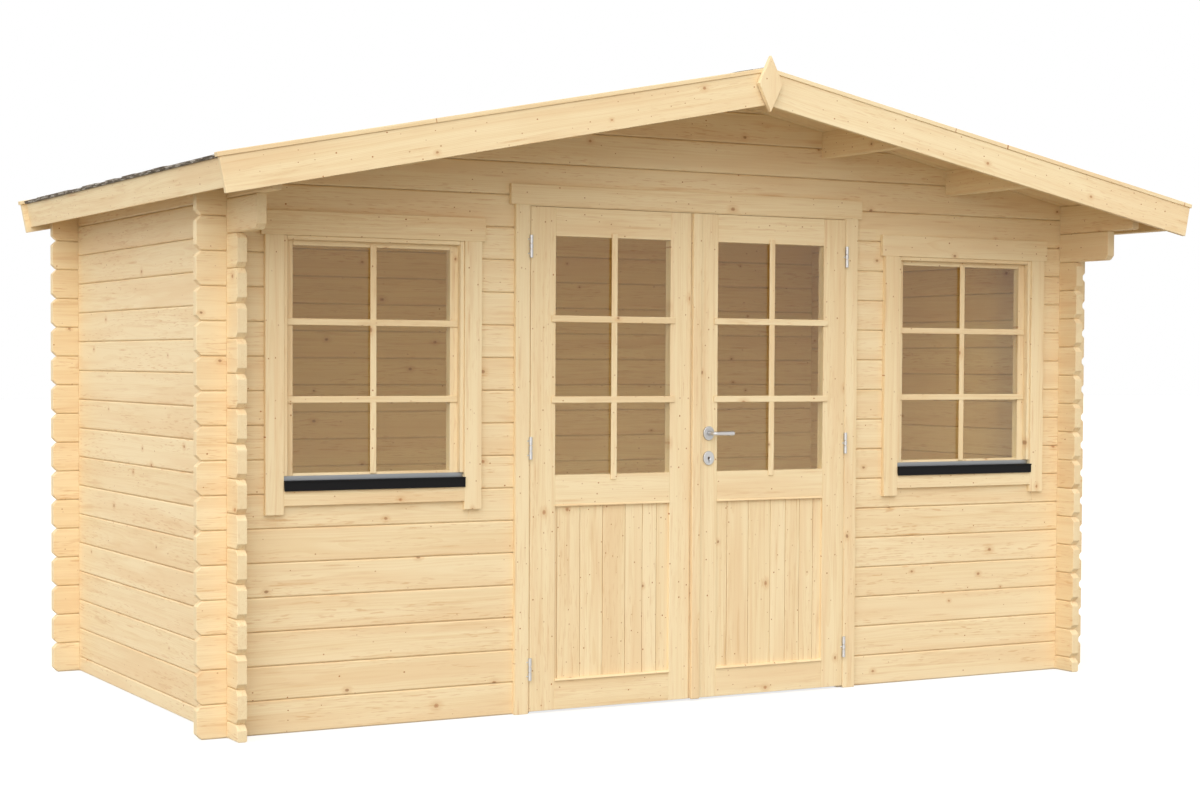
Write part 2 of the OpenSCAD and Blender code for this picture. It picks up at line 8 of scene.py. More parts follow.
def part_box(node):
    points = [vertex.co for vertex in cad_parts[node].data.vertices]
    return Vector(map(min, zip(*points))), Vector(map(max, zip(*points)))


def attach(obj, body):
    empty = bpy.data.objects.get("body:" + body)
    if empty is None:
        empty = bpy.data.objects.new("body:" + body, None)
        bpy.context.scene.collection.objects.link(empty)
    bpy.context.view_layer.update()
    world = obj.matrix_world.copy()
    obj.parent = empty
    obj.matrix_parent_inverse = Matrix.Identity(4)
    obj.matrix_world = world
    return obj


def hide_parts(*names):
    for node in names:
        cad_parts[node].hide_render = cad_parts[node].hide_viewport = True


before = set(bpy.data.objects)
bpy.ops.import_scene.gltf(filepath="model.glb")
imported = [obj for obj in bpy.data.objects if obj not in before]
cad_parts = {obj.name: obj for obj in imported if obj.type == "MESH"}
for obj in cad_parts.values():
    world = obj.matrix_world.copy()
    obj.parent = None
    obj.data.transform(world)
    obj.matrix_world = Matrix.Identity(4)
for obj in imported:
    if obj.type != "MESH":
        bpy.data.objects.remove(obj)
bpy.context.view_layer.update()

print("shed: frame loaded,", len(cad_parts), "cad nodes")

# main sizes, read from the cad pieces
sideLow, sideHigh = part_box("left_wall")
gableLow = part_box("front_gable")[0]
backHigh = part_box("back_wall")[1]
deckLow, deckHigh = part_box("roof_deck_left")
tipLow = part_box("front_wall_left")[0]
doorLow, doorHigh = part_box("door_frame")

shed = {
    "half": -sideLow.x,                    # outer face of a side wall from the middle
    "thick": sideHigh.x - sideLow.x,       # log thickness
    "front": gableLow.y,                   # outer face of the front wall
    "back": backHigh.y,                    # outer face of the back wall
    "gable": gableLow.z,                   # lowest joint of the gable
    "courses": 16,
    "pitch": 11.2,
    "roofFront": deckLow.y,
    "roofBack": deckHigh.y,
    "tip": sideLow.x - tipLow.x,           # log ends past the corner
}
shed["log"] = shed["gable"] / shed["courses"]
shed["inside"] = shed["half"] - shed["thick"]
tilt = math.radians(shed["pitch"])
sinP, cosP, tanP = math.sin(tilt), math.cos(tilt), math.tan(tilt)
axes = {"x": (1, 0, 0), "y": (0, 1, 0), "z": (0, 0, 1)}
hair = 1e-6                                # two places closer than this are the same


def underDeck(x):
    return sideHigh.z + (shed["inside"] - abs(x)) * tanP


def sideName(side):
    return "left" if side < 0 else "right"


# every board is built alone, then the boards of a sub-part are gathered in one pile

def startPile(seed):
    return {"verts": [], "faces": [], "grain": [], "tone": [], "end": [], "rng": random.Random(seed)}


# where in the log a board comes from, and how square to the fibres a face is to count as a sawn end
timberCut = {"length": 60, "across": 0.09, "pith": (0.02, 0.08), "sawn": 0.75}


def newGrain(rng):
    side = -1 if rng.random() < 0.5 else 1
    length, across, pith = timberCut["length"], timberCut["across"], timberCut["pith"]
    shift = Vector((rng.uniform(0, length), rng.uniform(-across, across), side * rng.uniform(*pith)))
    return {"shift": shift, "tone": rng.random()}


def addToPile(pile, bm, along, face, grain=None):
    # along runs with the fibres, face is the normal of the board's broad side
    grain = grain or newGrain(pile["rng"])
    along, face = Vector(along).normalized(), Vector(face).normalized()
    across = face.cross(along)
    bmesh.ops.recalc_face_normals(bm, faces=bm.faces[:])
    bm.verts.index_update()
    base = len(pile["verts"])
    middle = grain.get("middle")
    if middle is None:
        middle = sum((v.co for v in bm.verts), Vector()) / len(bm.verts)
        grain["middle"] = middle
    for v in bm.verts:
        rel = v.co - middle
        pile["verts"].append(v.co.copy())
        pile["grain"].append((rel.dot(along) + grain["shift"].x, rel.dot(across) + grain["shift"].y,
                              rel.dot(face) + grain["shift"].z))
        pile["tone"].append(grain["tone"])
    for f in bm.faces:
        pile["faces"].append([base + v.index for v in f.verts])
        sawn = 1.0 if abs(f.normal.dot(along)) > timberCut["sawn"] else 0.0
        pile["end"].extend([sawn] * len(f.verts))
    bm.free()
    return grain


def pieceFromPile(pile, name, material, body, nodes=()):
    mesh = bpy.data.meshes.new(name)
    mesh.from_pydata(pile["verts"], [], pile["faces"])
    grain = mesh.attributes.new("grain", "FLOAT_VECTOR", "POINT")
    grain.data.foreach_set("vector", [c for g in pile["grain"] for c in g])
    tone = mesh.attributes.new("tone", "FLOAT", "POINT")
    tone.data.foreach_set("value", pile["tone"])
    end = mesh.attributes.new("sawnEnd", "FLOAT", "CORNER")
    end.data.foreach_set("value", pile["end"])
    mesh.materials.append(material)
    piece = bpy.data.objects.new(name, mesh)
    bpy.context.scene.collection.objects.link(piece)
    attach(piece, body)
    if nodes:
        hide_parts(*nodes)
    return piece


def loft(bm, low, high):
    # closed body between two outlines with the same number of corners
    bm.faces.new(low)
    bm.faces.new(high)
    n = len(low)
    for i in range(n):
        j = (i + 1) % n
        bm.faces.new((low[i], low[j], high[j], high[i]))


def prism(outline, way, a, b):
    # outline is a list of flat points, way is the axis it is pushed along
    places = {"x": lambda p, t: (t, p[0], p[1]),
              "y": lambda p, t: (p[0], t, p[1]),
              "z": lambda p, t: (p[0], p[1], t)}
    place = places[way]
    bm = bmesh.new()
    low = [bm.verts.new(place(p, a)) for p in outline]
    high = [bm.verts.new(place(p, b)) for p in outline]
    loft(bm, low, high)
    bmesh.ops.recalc_face_normals(bm, faces=bm.faces[:])
    return bm


def block(x0, x1, y0, y1, z0, z1):
    return prism([(x0, z0), (x1, z0), (x1, z1), (x0, z1)], "y", y0, y1)


def trim(bm, point, normal):
    # cuts away what lies past a plane and closes the cut
    cut = bmesh.ops.bisect_plane(bm, geom=bm.verts[:] + bm.edges[:] + bm.faces[:], dist=hair,
                                 plane_co=point, plane_no=normal, clear_outer=True)
    edges = [e for e in cut["geom_cut"] if isinstance(e, bmesh.types.BMEdge)]
    if edges:
        bmesh.ops.edgenet_fill(bm, edges=edges)
    return bm


def ease(bm, width, rounds=1, least=0.3):
    # takes the sharp edge off, as planing and sanding do; flatter edges than least stay
    edges = [e for e in bm.edges if len(e.link_faces) == 2 and e.calc_face_angle(0) > least]
    bmesh.ops.bevel(bm, geom=edges, offset=width, segments=rounds, profile=0.5, affect="EDGES",
                    clamp_overlap=True)
    return bm


# short names for the nodes that the finishes are made of

def maths(tree, kind, a, b=None, clamp=False):
    n = tree.nodes.new("ShaderNodeMath")
    n.operation = kind
    n.use_clamp = clamp
    for i, v in enumerate((a, b)):
        if v is None:
            continue
        if isinstance(v, (int, float)):
            n.inputs[i].default_value = v
        else:
            tree.links.new(v, n.inputs[i])
    return n.outputs[0]


def times(tree, a, b):
    return maths(tree, "MULTIPLY", a, b)


def plus(tree, a, b):
    return maths(tree, "ADD", a, b)


def vectors(tree, kind, a, b=None):
    n = tree.nodes.new("ShaderNodeVectorMath")
    n.operation = kind
    for i, v in enumerate((a, b)):
        if v is None:
            continue
        if isinstance(v, tuple):
            n.inputs[i].default_value = v
        else:
            tree.links.new(v, n.inputs[i])
    return n.outputs["Value"] if kind == "LENGTH" else n.outputs["Vector"]


def stretched(tree, vector, along, across):
    # squeezes a pattern's space, so that it is long with the fibres
    return vectors(tree, "MULTIPLY", vector, (along, across, across))


def noise(tree, vector, scale, detail=2.0, rough=0.5, output="Fac"):
    n = tree.nodes.new("ShaderNodeTexNoise")
    n.inputs["Scale"].default_value = scale
    n.inputs["Detail"].default_value = detail
    n.inputs["Roughness"].default_value = rough
    tree.links.new(vector, n.inputs["Vector"])
    return n.outputs[output]


def stoneCells(tree, vector, scale):
    # cells of random size: the node, and three random values a cell
    n = tree.nodes.new("ShaderNodeTexVoronoi")
    n.inputs["Scale"].default_value = scale
    tree.links.new(vector, n.inputs["Vector"])
    picks = tree.nodes.new("ShaderNodeSeparateColor")
    tree.links.new(n.outputs["Color"], picks.inputs[0])
    return n, picks.outputs


def remap(tree, value, a, b, c=0.0, d=1.0, smooth=True):
    n = tree.nodes.new("ShaderNodeMapRange")
    n.interpolation_type = "SMOOTHSTEP" if smooth else "LINEAR"
    for key, v in (("From Min", a), ("From Max", b), ("To Min", c), ("To Max", d)):
        if isinstance(v, (int, float)):
            n.inputs[key].default_value = v
        else:
            tree.links.new(v, n.inputs[key])
    tree.links.new(value, n.inputs["Value"])
    return n.outputs["Result"]


def blendColour(tree, amount, a, b, kind="MIX"):
    n = tree.nodes.new("ShaderNodeMix")
    n.data_type = "RGBA"
    n.blend_type = kind
    for socket, v in ((n.inputs[0], amount), (n.inputs[6], a), (n.inputs[7], b)):
        if isinstance(v, (int, float)):
            socket.default_value = v
        elif isinstance(v, tuple):
            socket.default_value = (*v, 1.0)
        else:
            tree.links.new(v, socket)
    return n.outputs[2]


def attribute(tree, name, output="Fac"):
    n = tree.nodes.new("ShaderNodeAttribute")
    n.attribute_name = name
    return n.outputs[output]


def newFinish(name):
    mat = bpy.data.materials.new(name)
    mat.use_nodes = True
    return mat, mat.node_tree, mat.node_tree.nodes["Principled BSDF"]


def addRelief(tree, shader, height, strength, distance):
    n = tree.nodes.new("ShaderNodeBump")
    n.inputs["Strength"].default_value = strength
    n.inputs["Distance"].default_value = distance
    tree.links.new(height, n.inputs["Height"])
    tree.links.new(n.outputs["Normal"], shader.inputs["Normal"])


def seenDirectly(tree):
    # 1 where the camera sees a thing itself, in a reflection or through glass, 0 where it only lights others
    path = tree.nodes.new("ShaderNodeLightPath")
    return maths(tree, "MAXIMUM", path.outputs["Is Camera Ray"],
                 maths(tree, "MAXIMUM", path.outputs["Is Glossy Ray"], path.outputs["Is Transmission Ray"]))


spruceLook = {
    "pale": (0.90, 0.740, 0.485),
    "deep": (0.78, 0.560, 0.300),
    "warm": (0.82, 0.600, 0.355),
    "streak": (0.66, 0.385, 0.170),
    "knot": (0.260, 0.095, 0.032),
    "redKnot": (0.54, 0.225, 0.085),
    "pin": (0.400, 0.130, 0.025),
    "sawn": (0.82, 0.680, 0.440),
    "rings": 0.0052,                       # distance between year rings
    "ringSharp": 2.4,
    "roughness": 0.58, "roughRange": 0.14, "gloss": 0.30,
    "relief": (0.30, 0.0008),              # strength and height of the grain that can be felt
    "reliefShare": {"ring": -0.35, "fibre": 0.5, "knot": -0.4},      # dark rings and knots lie lower
    "figure": 1.1, "evenShade": 0.34,      # strength of the grain, about a middle shade
    # patterns: how they are squeezed along and across the fibres
    "slow": (1.0, 7.0), "quick": (5.0, 30.0), "broad": (1.1, 13.0),
    "fibre": (9.0, 420.0), "thread": (3.2, 95.0),
    "fields": (0.9, 8.0),                  # where flecks gather
    "wander": 0.05,                        # how far fibres bend to each side
    "wobble": {"slow": 0.040, "quick": 0.004, "knot": 0.007},    # how far the year rings bend
    "bandsAcross": 95.0, "bandsAlong": 1.6,                      # soft bands of several rings
    "share": {"ring": 0.26, "band": 0.34, "fibre": 0.14, "thread": 0.22, "board": 0.26, "less": 0.12},
    # where each pattern fades in and is full
    "contrast": {"band": (0.32, 0.70), "thread": (0.45, 0.75), "broad": (0.44, 0.70), "fields": (0.40, 0.62)},
    # marks lie in cells (length along the fibres, width), in a share of them, with a size from-to;
    # long is their length in widths, sharp, core and rim are shares of their size
    "knots": {"cell": (0.52, 0.100), "share": 0.42, "size": (0.0040, 0.0095), "long": 1.35,
              "sharp": 0.55, "core": 0.5, "rim": 3.2},
    "pins": {"cell": (0.062, 0.036), "share": 0.13, "size": (0.0014, 0.0031), "long": 1.25,
             "sharp": 0.65, "depth": (0.30, 1.0)},
    "streaks": {"cell": (0.42, 0.070), "share": 0.50, "size": (0.0028, 0.0075), "long": 15.0,
                "depth": (0.10, 0.60)},
    # short brown flecks in clusters, and longer warm tongues
    "dashes": {"stretch": (17.0, 190.0), "from": 0.56, "to": 0.69, "depth": 0.52, "shift": 9.0},
    "flames": {"stretch": (4.2, 60.0), "from": 0.52, "to": 0.74, "depth": 0.34, "shift": 3.0},
    "mix": {"warm": 0.60, "rim": 0.34, "knot": 0.62, "core": 0.40, "sawn": 0.45},
}


def marks(tree, grain, look, ragged):
    # reach from the middle of the nearest mark, the mark's size, whether it is there, and a random value
    cx, cy = look["cell"]
    space = vectors(tree, "MULTIPLY", grain, (1 / cx, 1 / cy, 0.0))
    cells = tree.nodes.new("ShaderNodeTexVoronoi")
    cells.voronoi_dimensions = "2D"
    cells.inputs["Scale"].default_value = 1.0
    cells.inputs["Randomness"].default_value = 0.9
    tree.links.new(space, cells.inputs["Vector"])
    away = vectors(tree, "SUBTRACT", space, cells.outputs["Position"])
    away = vectors(tree, "MULTIPLY", away, (cx / look["long"], cy, 0.0))
    reach = plus(tree, vectors(tree, "LENGTH", away), times(tree, ragged, look["size"][0]))
    picks = tree.nodes.new("ShaderNodeSeparateColor")
    tree.links.new(cells.outputs["Color"], picks.inputs[0])
    there = maths(tree, "LESS_THAN", picks.outputs[0], look["share"])
    size = remap(tree, picks.outputs[1], 0.0, 1.0, *look["size"], False)
    return reach, size, there, picks.outputs[2]


def fading(tree, there, reach, start, end):
    # full strength up to start, gone at end, and only where the mark is
    return times(tree, there, remap(tree, reach, start, end, 1.0, 0.0))


def spruce(name, look):
    mat, tree, shader = newFinish(name)
    grain = attribute(tree, "grain", "Vector")
    parts = tree.nodes.new("ShaderNodeSeparateXYZ")
    tree.links.new(grain, parts.inputs[0])
    ragged = maths(tree, "SUBTRACT", noise(tree, grain, 170.0), 0.5)
    # grown-in knots, with fibres that bend round them
    kind = look["knots"]
    reach, size, there, hue = marks(tree, grain, kind, ragged)
    knot = fading(tree, there, reach, times(tree, size, kind["sharp"]), size)
    core = fading(tree, there, reach, 0.0, times(tree, size, kind["core"]))
    rim = fading(tree, there, reach, size, times(tree, size, kind["rim"]))
    # pin knots
    kind = look["pins"]
    reach, size, there, depth = marks(tree, grain, kind, ragged)
    pin = fading(tree, there, reach, times(tree, size, kind["sharp"]), size)
    pin = times(tree, pin, remap(tree, depth, 0.0, 1.0, *kind["depth"], False))
    # short resin streaks
    kind = look["streaks"]
    reach, size, there, depth = marks(tree, grain, kind, ragged)
    resin = fading(tree, there, reach, 0.0, size)
    resin = times(tree, resin, remap(tree, depth, 0.0, 1.0, *kind["depth"], False))
    # year rings around a pith that lies off the board
    y, z = parts.outputs[1], parts.outputs[2]
    radius = maths(tree, "SQRT", plus(tree, times(tree, y, y), times(tree, z, z)))
    slow = noise(tree, stretched(tree, grain, *look["slow"]), 1.0)
    quick = noise(tree, stretched(tree, grain, *look["quick"]), 1.0, 1.0)
    for bend, cause in (("slow", slow), ("quick", quick), ("knot", rim)):
        radius = plus(tree, radius, times(tree, cause, look["wobble"][bend]))
    ring = maths(tree, "FRACT", maths(tree, "DIVIDE", radius, look["rings"]))
    ring = maths(tree, "POWER", ring, look["ringSharp"])
    # soft bands of several rings, fine fibre and broad warm fields
    bandPlace = tree.nodes.new("ShaderNodeCombineXYZ")
    tree.links.new(times(tree, radius, look["bandsAcross"]), bandPlace.inputs[0])
    drift = noise(tree, vectors(tree, "MULTIPLY", grain, (look["bandsAlong"], 0.0, 0.0)), 1.0, 1.0)
    tree.links.new(drift, bandPlace.inputs[1])
    contrast = look["contrast"]
    band = remap(tree, noise(tree, bandPlace.outputs[0], 1.0, 3.0, 0.62), *contrast["band"])
    fibre = noise(tree, stretched(tree, grain, *look["fibre"]), 1.0, 3.0)
    thread = remap(tree, noise(tree, stretched(tree, grain, *look["thread"]), 1.0), *contrast["thread"])
    broad = remap(tree, noise(tree, stretched(tree, grain, *look["broad"]), 1.0), *contrast["broad"])
    board = maths(tree, "SUBTRACT", attribute(tree, "tone"), 0.5)
    share = look["share"]
    shade = plus(tree, times(tree, ring, share["ring"]), times(tree, band, share["band"]))
    for pattern, amount in ((fibre, "fibre"), (thread, "thread"), (board, "board")):
        shade = plus(tree, shade, times(tree, pattern, share[amount]))
    shade = maths(tree, "SUBTRACT", shade, share["less"] + look["evenShade"])
    shade = maths(tree, "ADD", times(tree, shade, look["figure"]), look["evenShade"], clamp=True)
    mix = look["mix"]
    colour = blendColour(tree, shade, look["pale"], look["deep"])
    colour = blendColour(tree, times(tree, broad, mix["warm"]), colour, look["warm"])
    # flecks follow fibres that wander a little to each side
    sideways = tree.nodes.new("ShaderNodeCombineXYZ")
    tree.links.new(times(tree, maths(tree, "SUBTRACT", slow, 0.5), look["wander"]), sideways.inputs[1])
    bent = vectors(tree, "ADD", grain, sideways.outputs[0])
    for fleck in (look["flames"], look["dashes"]):
        shift = fleck["shift"]
        place = vectors(tree, "ADD", stretched(tree, bent, *fleck["stretch"]), (shift, shift, shift))
        field = noise(tree, stretched(tree, grain, *look["fields"]), 1.0 + shift / 10, 1.0)
        amount = times(tree, remap(tree, noise(tree, place, 1.0), fleck["from"], fleck["to"]), fleck["depth"])
        amount = times(tree, amount, remap(tree, field, *contrast["fields"]))
        colour = blendColour(tree, amount, colour, look["streak"])
    colour = blendColour(tree, resin, colour, look["streak"])
    colour = blendColour(tree, times(tree, rim, mix["rim"]), colour, look["streak"])
    knotColour = blendColour(tree, hue, look["redKnot"], look["knot"])
    colour = blendColour(tree, times(tree, knot, mix["knot"]), colour, knotColour)
    colour = blendColour(tree, times(tree, core, mix["core"]), colour, look["knot"])
    colour = blendColour(tree, pin, colour, look["pin"])
    colour = blendColour(tree, times(tree, attribute(tree, "sawnEnd"), mix["sawn"]), colour, look["sawn"])
    tree.links.new(colour, shader.inputs["Base Color"])
    rough = plus(tree, times(tree, fibre, look["roughRange"]), look["roughness"] - look["roughRange"] / 2)
    tree.links.new(rough, shader.inputs["Roughness"])
    shader.inputs["Specular IOR Level"].default_value = look["gloss"]
    share = look["reliefShare"]
    height = plus(tree, times(tree, ring, share["ring"]), times(tree, fibre, share["fibre"]))
    height = plus(tree, height, times(tree, knot, share["knot"]))
    addRelief(tree, shader, height, *look["relief"])
    return mat


planedLook = {**spruceLook, "pale": (0.91, 0.752, 0.492), "rings": 0.0046, "figure": 1.3,
              "pins": {**spruceLook["pins"], "share": 0.50},
              "dashes": {**spruceLook["dashes"], "depth": 0.30}}
logWood = spruce("spruceLogs", spruceLook)
planedWood = spruce("sprucePlaned", planedLook)
boardWood = spruce("spruceBoards", {**spruceLook, "pale": (0.88, 0.715, 0.450)})

shingleLook = {
    "dark": (0.060, 0.048, 0.036), "mid": (0.245, 0.205, 0.160), "light": (0.72, 0.695, 0.65),
    "worn": (0.60, 0.55, 0.51),            # what the darker patches are multiplied by
    "stone": 480.0, "blot": 22.0, "grit": 620.0, "patch": 16.0,      # how many a metre
    "blotEdge": 60.0, "blotRagged": 0.02,
    "paleBlots": 0.10, "paleCut": 0.76,    # strongest on cut edges
    "midBlots": 0.40, "paleStones": 0.55, "patchDepth": 0.5, "tabDepth": 0.45,
    # where each pattern fades in and is full
    "contrast": {"patch": (0.35, 0.65), "stone": (0.25, 0.75), "paleStone": (0.84, 0.94),
                 "paleBlot": (0.50, 0.68), "midBlot": (0.35, 0.75)},
    "rough": (0.80, 0.98), "relief": (0.8, 0.0014), "stoneRelief": -0.8, "gloss": 0.25,
}


def bitumen(name, look):
    mat, tree, shader = newFinish(name)
    grain = attribute(tree, "grain", "Vector")
    grit = noise(tree, grain, look["grit"], 2.0, 0.6)
    contrast = look["contrast"]
    patch = remap(tree, noise(tree, grain, look["patch"], 3.0), *contrast["patch"])
    stones, pick = stoneCells(tree, grain, look["stone"])
    colour = blendColour(tree, remap(tree, pick[0], *contrast["stone"]), look["dark"], look["mid"])
    # blots of lighter and darker stones, with ragged edges
    ragged = noise(tree, grain, look["blotEdge"], output="Color")
    ragged = vectors(tree, "MULTIPLY", ragged, (look["blotRagged"],) * 3)
    which = stoneCells(tree, vectors(tree, "ADD", grain, ragged), look["blot"])[1]
    pale = plus(tree, times(tree, attribute(tree, "sawnEnd"), look["paleCut"]), look["paleBlots"])
    pale = times(tree, remap(tree, which[0], *contrast["paleBlot"]), pale)
    middling = times(tree, remap(tree, which[1], *contrast["midBlot"]), look["midBlots"])
    single = times(tree, remap(tree, pick[1], *contrast["paleStone"]), look["paleStones"])
    for amount, shade in ((pale, "light"), (middling, "mid"), (single, "light")):
        colour = blendColour(tree, amount, colour, look[shade])
    # whole tabs and patches differ in shade
    shade = times(tree, attribute(tree, "tone"), look["tabDepth"])
    shade = plus(tree, times(tree, patch, look["patchDepth"]), shade)
    colour = blendColour(tree, shade, colour, blendColour(tree, 1.0, colour, look["worn"], "MULTIPLY"))
    tree.links.new(colour, shader.inputs["Base Color"])
    tree.links.new(remap(tree, grit, 0.0, 1.0, *look["rough"], False), shader.inputs["Roughness"])
    shader.inputs["Specular IOR Level"].default_value = look["gloss"]
    between = times(tree, stones.outputs["Distance"], look["stoneRelief"])
    addRelief(tree, shader, plus(tree, grit, between), *look["relief"])
    return mat


shingleSkin = bitumen("bitumenShingle", shingleLook)
steelLook = {"colour": (0.60, 0.60, 0.605), "worn": 0.86, "rough": (0.33, 0.45), "metallic": 0.80,
             "streaks": (300.0, 300.0, 900.0), "relief": (0.08, 0.0002)}
sillLook = {**steelLook, "colour": (0.36, 0.375, 0.39), "rough": (0.37, 0.49), "metallic": 1.0,
            "streaks": (14.0, 700.0, 700.0)}


def metal(name, look):
    mat, tree, shader = newFinish(name)
    place = tree.nodes.new("ShaderNodeTexCoord").outputs["Object"]
    wear = noise(tree, vectors(tree, "MULTIPLY", place, look["streaks"]), 1.0, 3.0)
    worn = tuple(c * look["worn"] for c in look["colour"])
    tree.links.new(blendColour(tree, wear, look["colour"], worn), shader.inputs["Base Color"])
    tree.links.new(remap(tree, wear, 0.2, 0.8, *look["rough"], False), shader.inputs["Roughness"])
    shader.inputs["Metallic"].default_value = look["metallic"]
    addRelief(tree, shader, wear, *look["relief"])
    return mat


def blackProfile(look):
    mat, tree, shader = newFinish("blackProfile")
    place = tree.nodes.new("ShaderNodeTexCoord").outputs["Object"]
    fine = noise(tree, place, look["fine"])
    tree.links.new(blendColour(tree, fine, look["dark"], look["worn"]), shader.inputs["Base Color"])
    tree.links.new(remap(tree, fine, 0.2, 0.8, *look["rough"], False), shader.inputs["Roughness"])
    shader.inputs["Specular IOR Level"].default_value = look["gloss"]
    return mat


def clearGlass(look):
    mat, tree, shader = newFinish("clearGlass")
    shader.inputs["Base Color"].default_value = (*look["tint"], 1.0)
    shader.inputs["Transmission Weight"].default_value = 1.0
    shader.inputs["Roughness"].default_value = 0.0
    shader.inputs["IOR"].default_value = 1.45
    shader.inputs["Specular IOR Level"].default_value = look["gloss"]
    # light and shadow pass straight through, so the room behind is lit
    path = tree.nodes.new("ShaderNodeLightPath")
    through = tree.nodes.new("ShaderNodeBsdfTransparent")
    through.inputs["Color"].default_value = (*look["light"], 1.0)
    mix = tree.nodes.new("ShaderNodeMixShader")
    passing = maths(tree, "MAXIMUM", path.outputs["Is Shadow Ray"], path.outputs["Is Diffuse Ray"])
    tree.links.new(passing, mix.inputs[0])
    tree.links.new(shader.outputs[0], mix.inputs[1])
    tree.links.new(through.outputs[0], mix.inputs[2])
    tree.links.new(mix.outputs[0], tree.nodes["Material Output"].inputs["Surface"])
    return mat


satinSteel = metal("satinSteel", steelLook)
millAluminium = metal("millAluminium", sillLook)
dripSkin = blackProfile({"dark": (0.004, 0.004, 0.005), "worn": (0.011, 0.011, 0.012), "fine": 900.0,
                         "rough": (0.42, 0.55), "gloss": 0.12})
windowGlass = clearGlass({"tint": (0.97, 0.960, 0.81), "light": (0.97, 0.97, 0.955), "gloss": 0.08})
print("shed: finishes ready")

logWork = {
    "joint": 0.0042,                       # chamfer beside a joint
    "slot": 0.0005,                        # each log stays this far from the joint, the tongue closes the gap
    "tongue": 0.012,
    "endChamfer": 0.019, "ease": 0.0011,
    "corbel": 0.286, "corbelCut": 0.019, "topOut": 0.425,
    "lap": 0.25,                           # a crossed log loses this share above and below
    "leastTop": 0.004,                     # a lower log under the ridge is left out
}


def logBody(pile, wall, u0, u1, z0, z1, grain, low=True, high=True, ends=()):
    # wall is the way it runs and its two faces; low and high say which edges are joints
    way, w0, w1 = wall
    g, gap = logWork["joint"], logWork["slot"]
    a, b = z0 + gap * low, z1 - gap * high
    section = [(w0 + g, a), (w1 - g, a), (w1, a + g)] if low else [(w0, a), (w1, a)]
    section += [(w1, b - g), (w1 - g, b), (w0 + g, b), (w0, b - g)] if high else [(w1, b), (w0, b)]
    if low:
        section += [(w0, a + g)]
    face = axes["y"] if way == "x" else axes["x"]
    middle, half = (w0 + w1) / 2, logWork["tongue"] / 2
    tongue = [(middle - half, b), (middle + half, b), (middle + half, z1 + gap), (middle - half, z1 + gap)]
    bodies = [(section, logWork["ease"])]
    if high:
        bodies.append((tongue, 0.0))
    for outline, soft in bodies:
        bm = prism(outline, way, u0, u1)
        for point, normal in ends:
            trim(bm, point, normal)
        if len(bm.faces) < 4:              # nothing of it is left below the roof
            bm.free()
            continue
        if soft:
            ease(bm, soft)
        addToPile(pile, bm, axes[way], face, grain)


def endCuts(way, u, side, z0, z1, c, top=True, bottom=True):
    # 45 degree chamfers on the end of a log; side is -1 at the low end and 1 at the high end
    def flat(a, z):
        return (a, 0, z) if way == "x" else (0, a, z)

    cuts = []
    if bottom:
        cuts.append((flat(u, z0 + c), flat(side, -1)))
    if top:
        cuts.append((flat(u, z1 - c), flat(side, 1)))
    return cuts


def crossedLog(pile, wall, z0, z1, laps, u0, u1, tip0=(), tip1=(), holes=(), keep=None, cuts=()):
    # laps are the corner columns (low, high) that this log crosses, keep is what is left of its height there
    # tip0 and tip1 say how its ends are cut, holes are window openings
    grain = newGrain(pile["rng"])
    quarter = logWork["lap"] * shed["log"]
    lapLow, lapHigh = keep or (z0 + quarter, z1 - quarter)
    stops = sorted([u0, u1] + [a for lap in laps for a in lap])
    for a, b in zip(stops[:-1], stops[1:]):
        if b - a < 10 * hair:
            continue
        if any(abs(a - lap[0]) < hair for lap in laps):
            logBody(pile, wall, a, b, lapLow, lapHigh, grain, False, False, cuts)
            continue
        ends = [*cuts, *(tip0 if a == u0 else ()), *(tip1 if b == u1 else ())]
        pieces = [(a, b, z0, z1)]
        for h0, h1, hz0, hz1 in holes:
            if h0 < a or h1 > b or hz0 >= z1 - hair or hz1 <= z0 + hair:
                continue
            pieces = [(a, h0, z0, z1), (h1, b, z0, z1)]
            if hz0 > z0:
                pieces.append((h0, h1, z0, hz0))
            if hz1 < z1:
                pieces.append((h0, h1, hz1, z1))
        for p0, p1, pz0, pz1 in pieces:
            logBody(pile, wall, p0, p1, pz0, pz1, grain, pz0 == z0, pz1 == z1, ends)


leftColumn = (-shed["half"], -shed["inside"])
rightColumn = (shed["inside"], shed["half"])
frontColumn = (shed["front"], shed["front"] + shed["thick"])
backColumn = (shed["back"] - shed["thick"], shed["back"])
frontFaces = ("x",) + frontColumn
backFaces = ("x",) + backColumn
outTip = shed["half"] + shed["tip"]


def frontWall(side):
    name = sideName(side)
    pile = startPile(11 if side < 0 else 12)
    frameLow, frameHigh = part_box(name + "_window_frame")
    opening = (frameLow.x, frameHigh.x, frameLow.z, frameHigh.z)
    for k in range(shed["courses"]):
        z0, z1 = k * shed["log"], (k + 1) * shed["log"]
        tip = endCuts("x", side * outTip, side, z0, z1, logWork["endChamfer"])
        if side < 0:
            crossedLog(pile, frontFaces, z0, z1, [leftColumn], -outTip, doorLow.x, tip0=tip, holes=[opening])
        else:
            crossedLog(pile, frontFaces, z0, z1, [rightColumn], doorHigh.x, outTip, tip1=tip, holes=[opening])
    pieceFromPile(pile, "frontWall_" + name, logWood, "shed", ["front_wall_" + name])


def gableLogs(pile, faces):
    z = shed["gable"]
    top = underDeck(0)
    slopes = [((0, 0, top), (-sinP, 0, cosP)), ((0, 0, top), (sinP, 0, cosP))]
    first = True
    while z < top - logWork["leastTop"]:
        z1 = z + shed["log"]
        keep = (z + logWork["lap"] * shed["log"], z1) if first else (z, z1)
        laps = [leftColumn, rightColumn] if first else []
        crossedLog(pile, faces, z, z1, laps, -shed["half"], shed["half"], keep=keep, cuts=slopes)
        z, first = z1, False


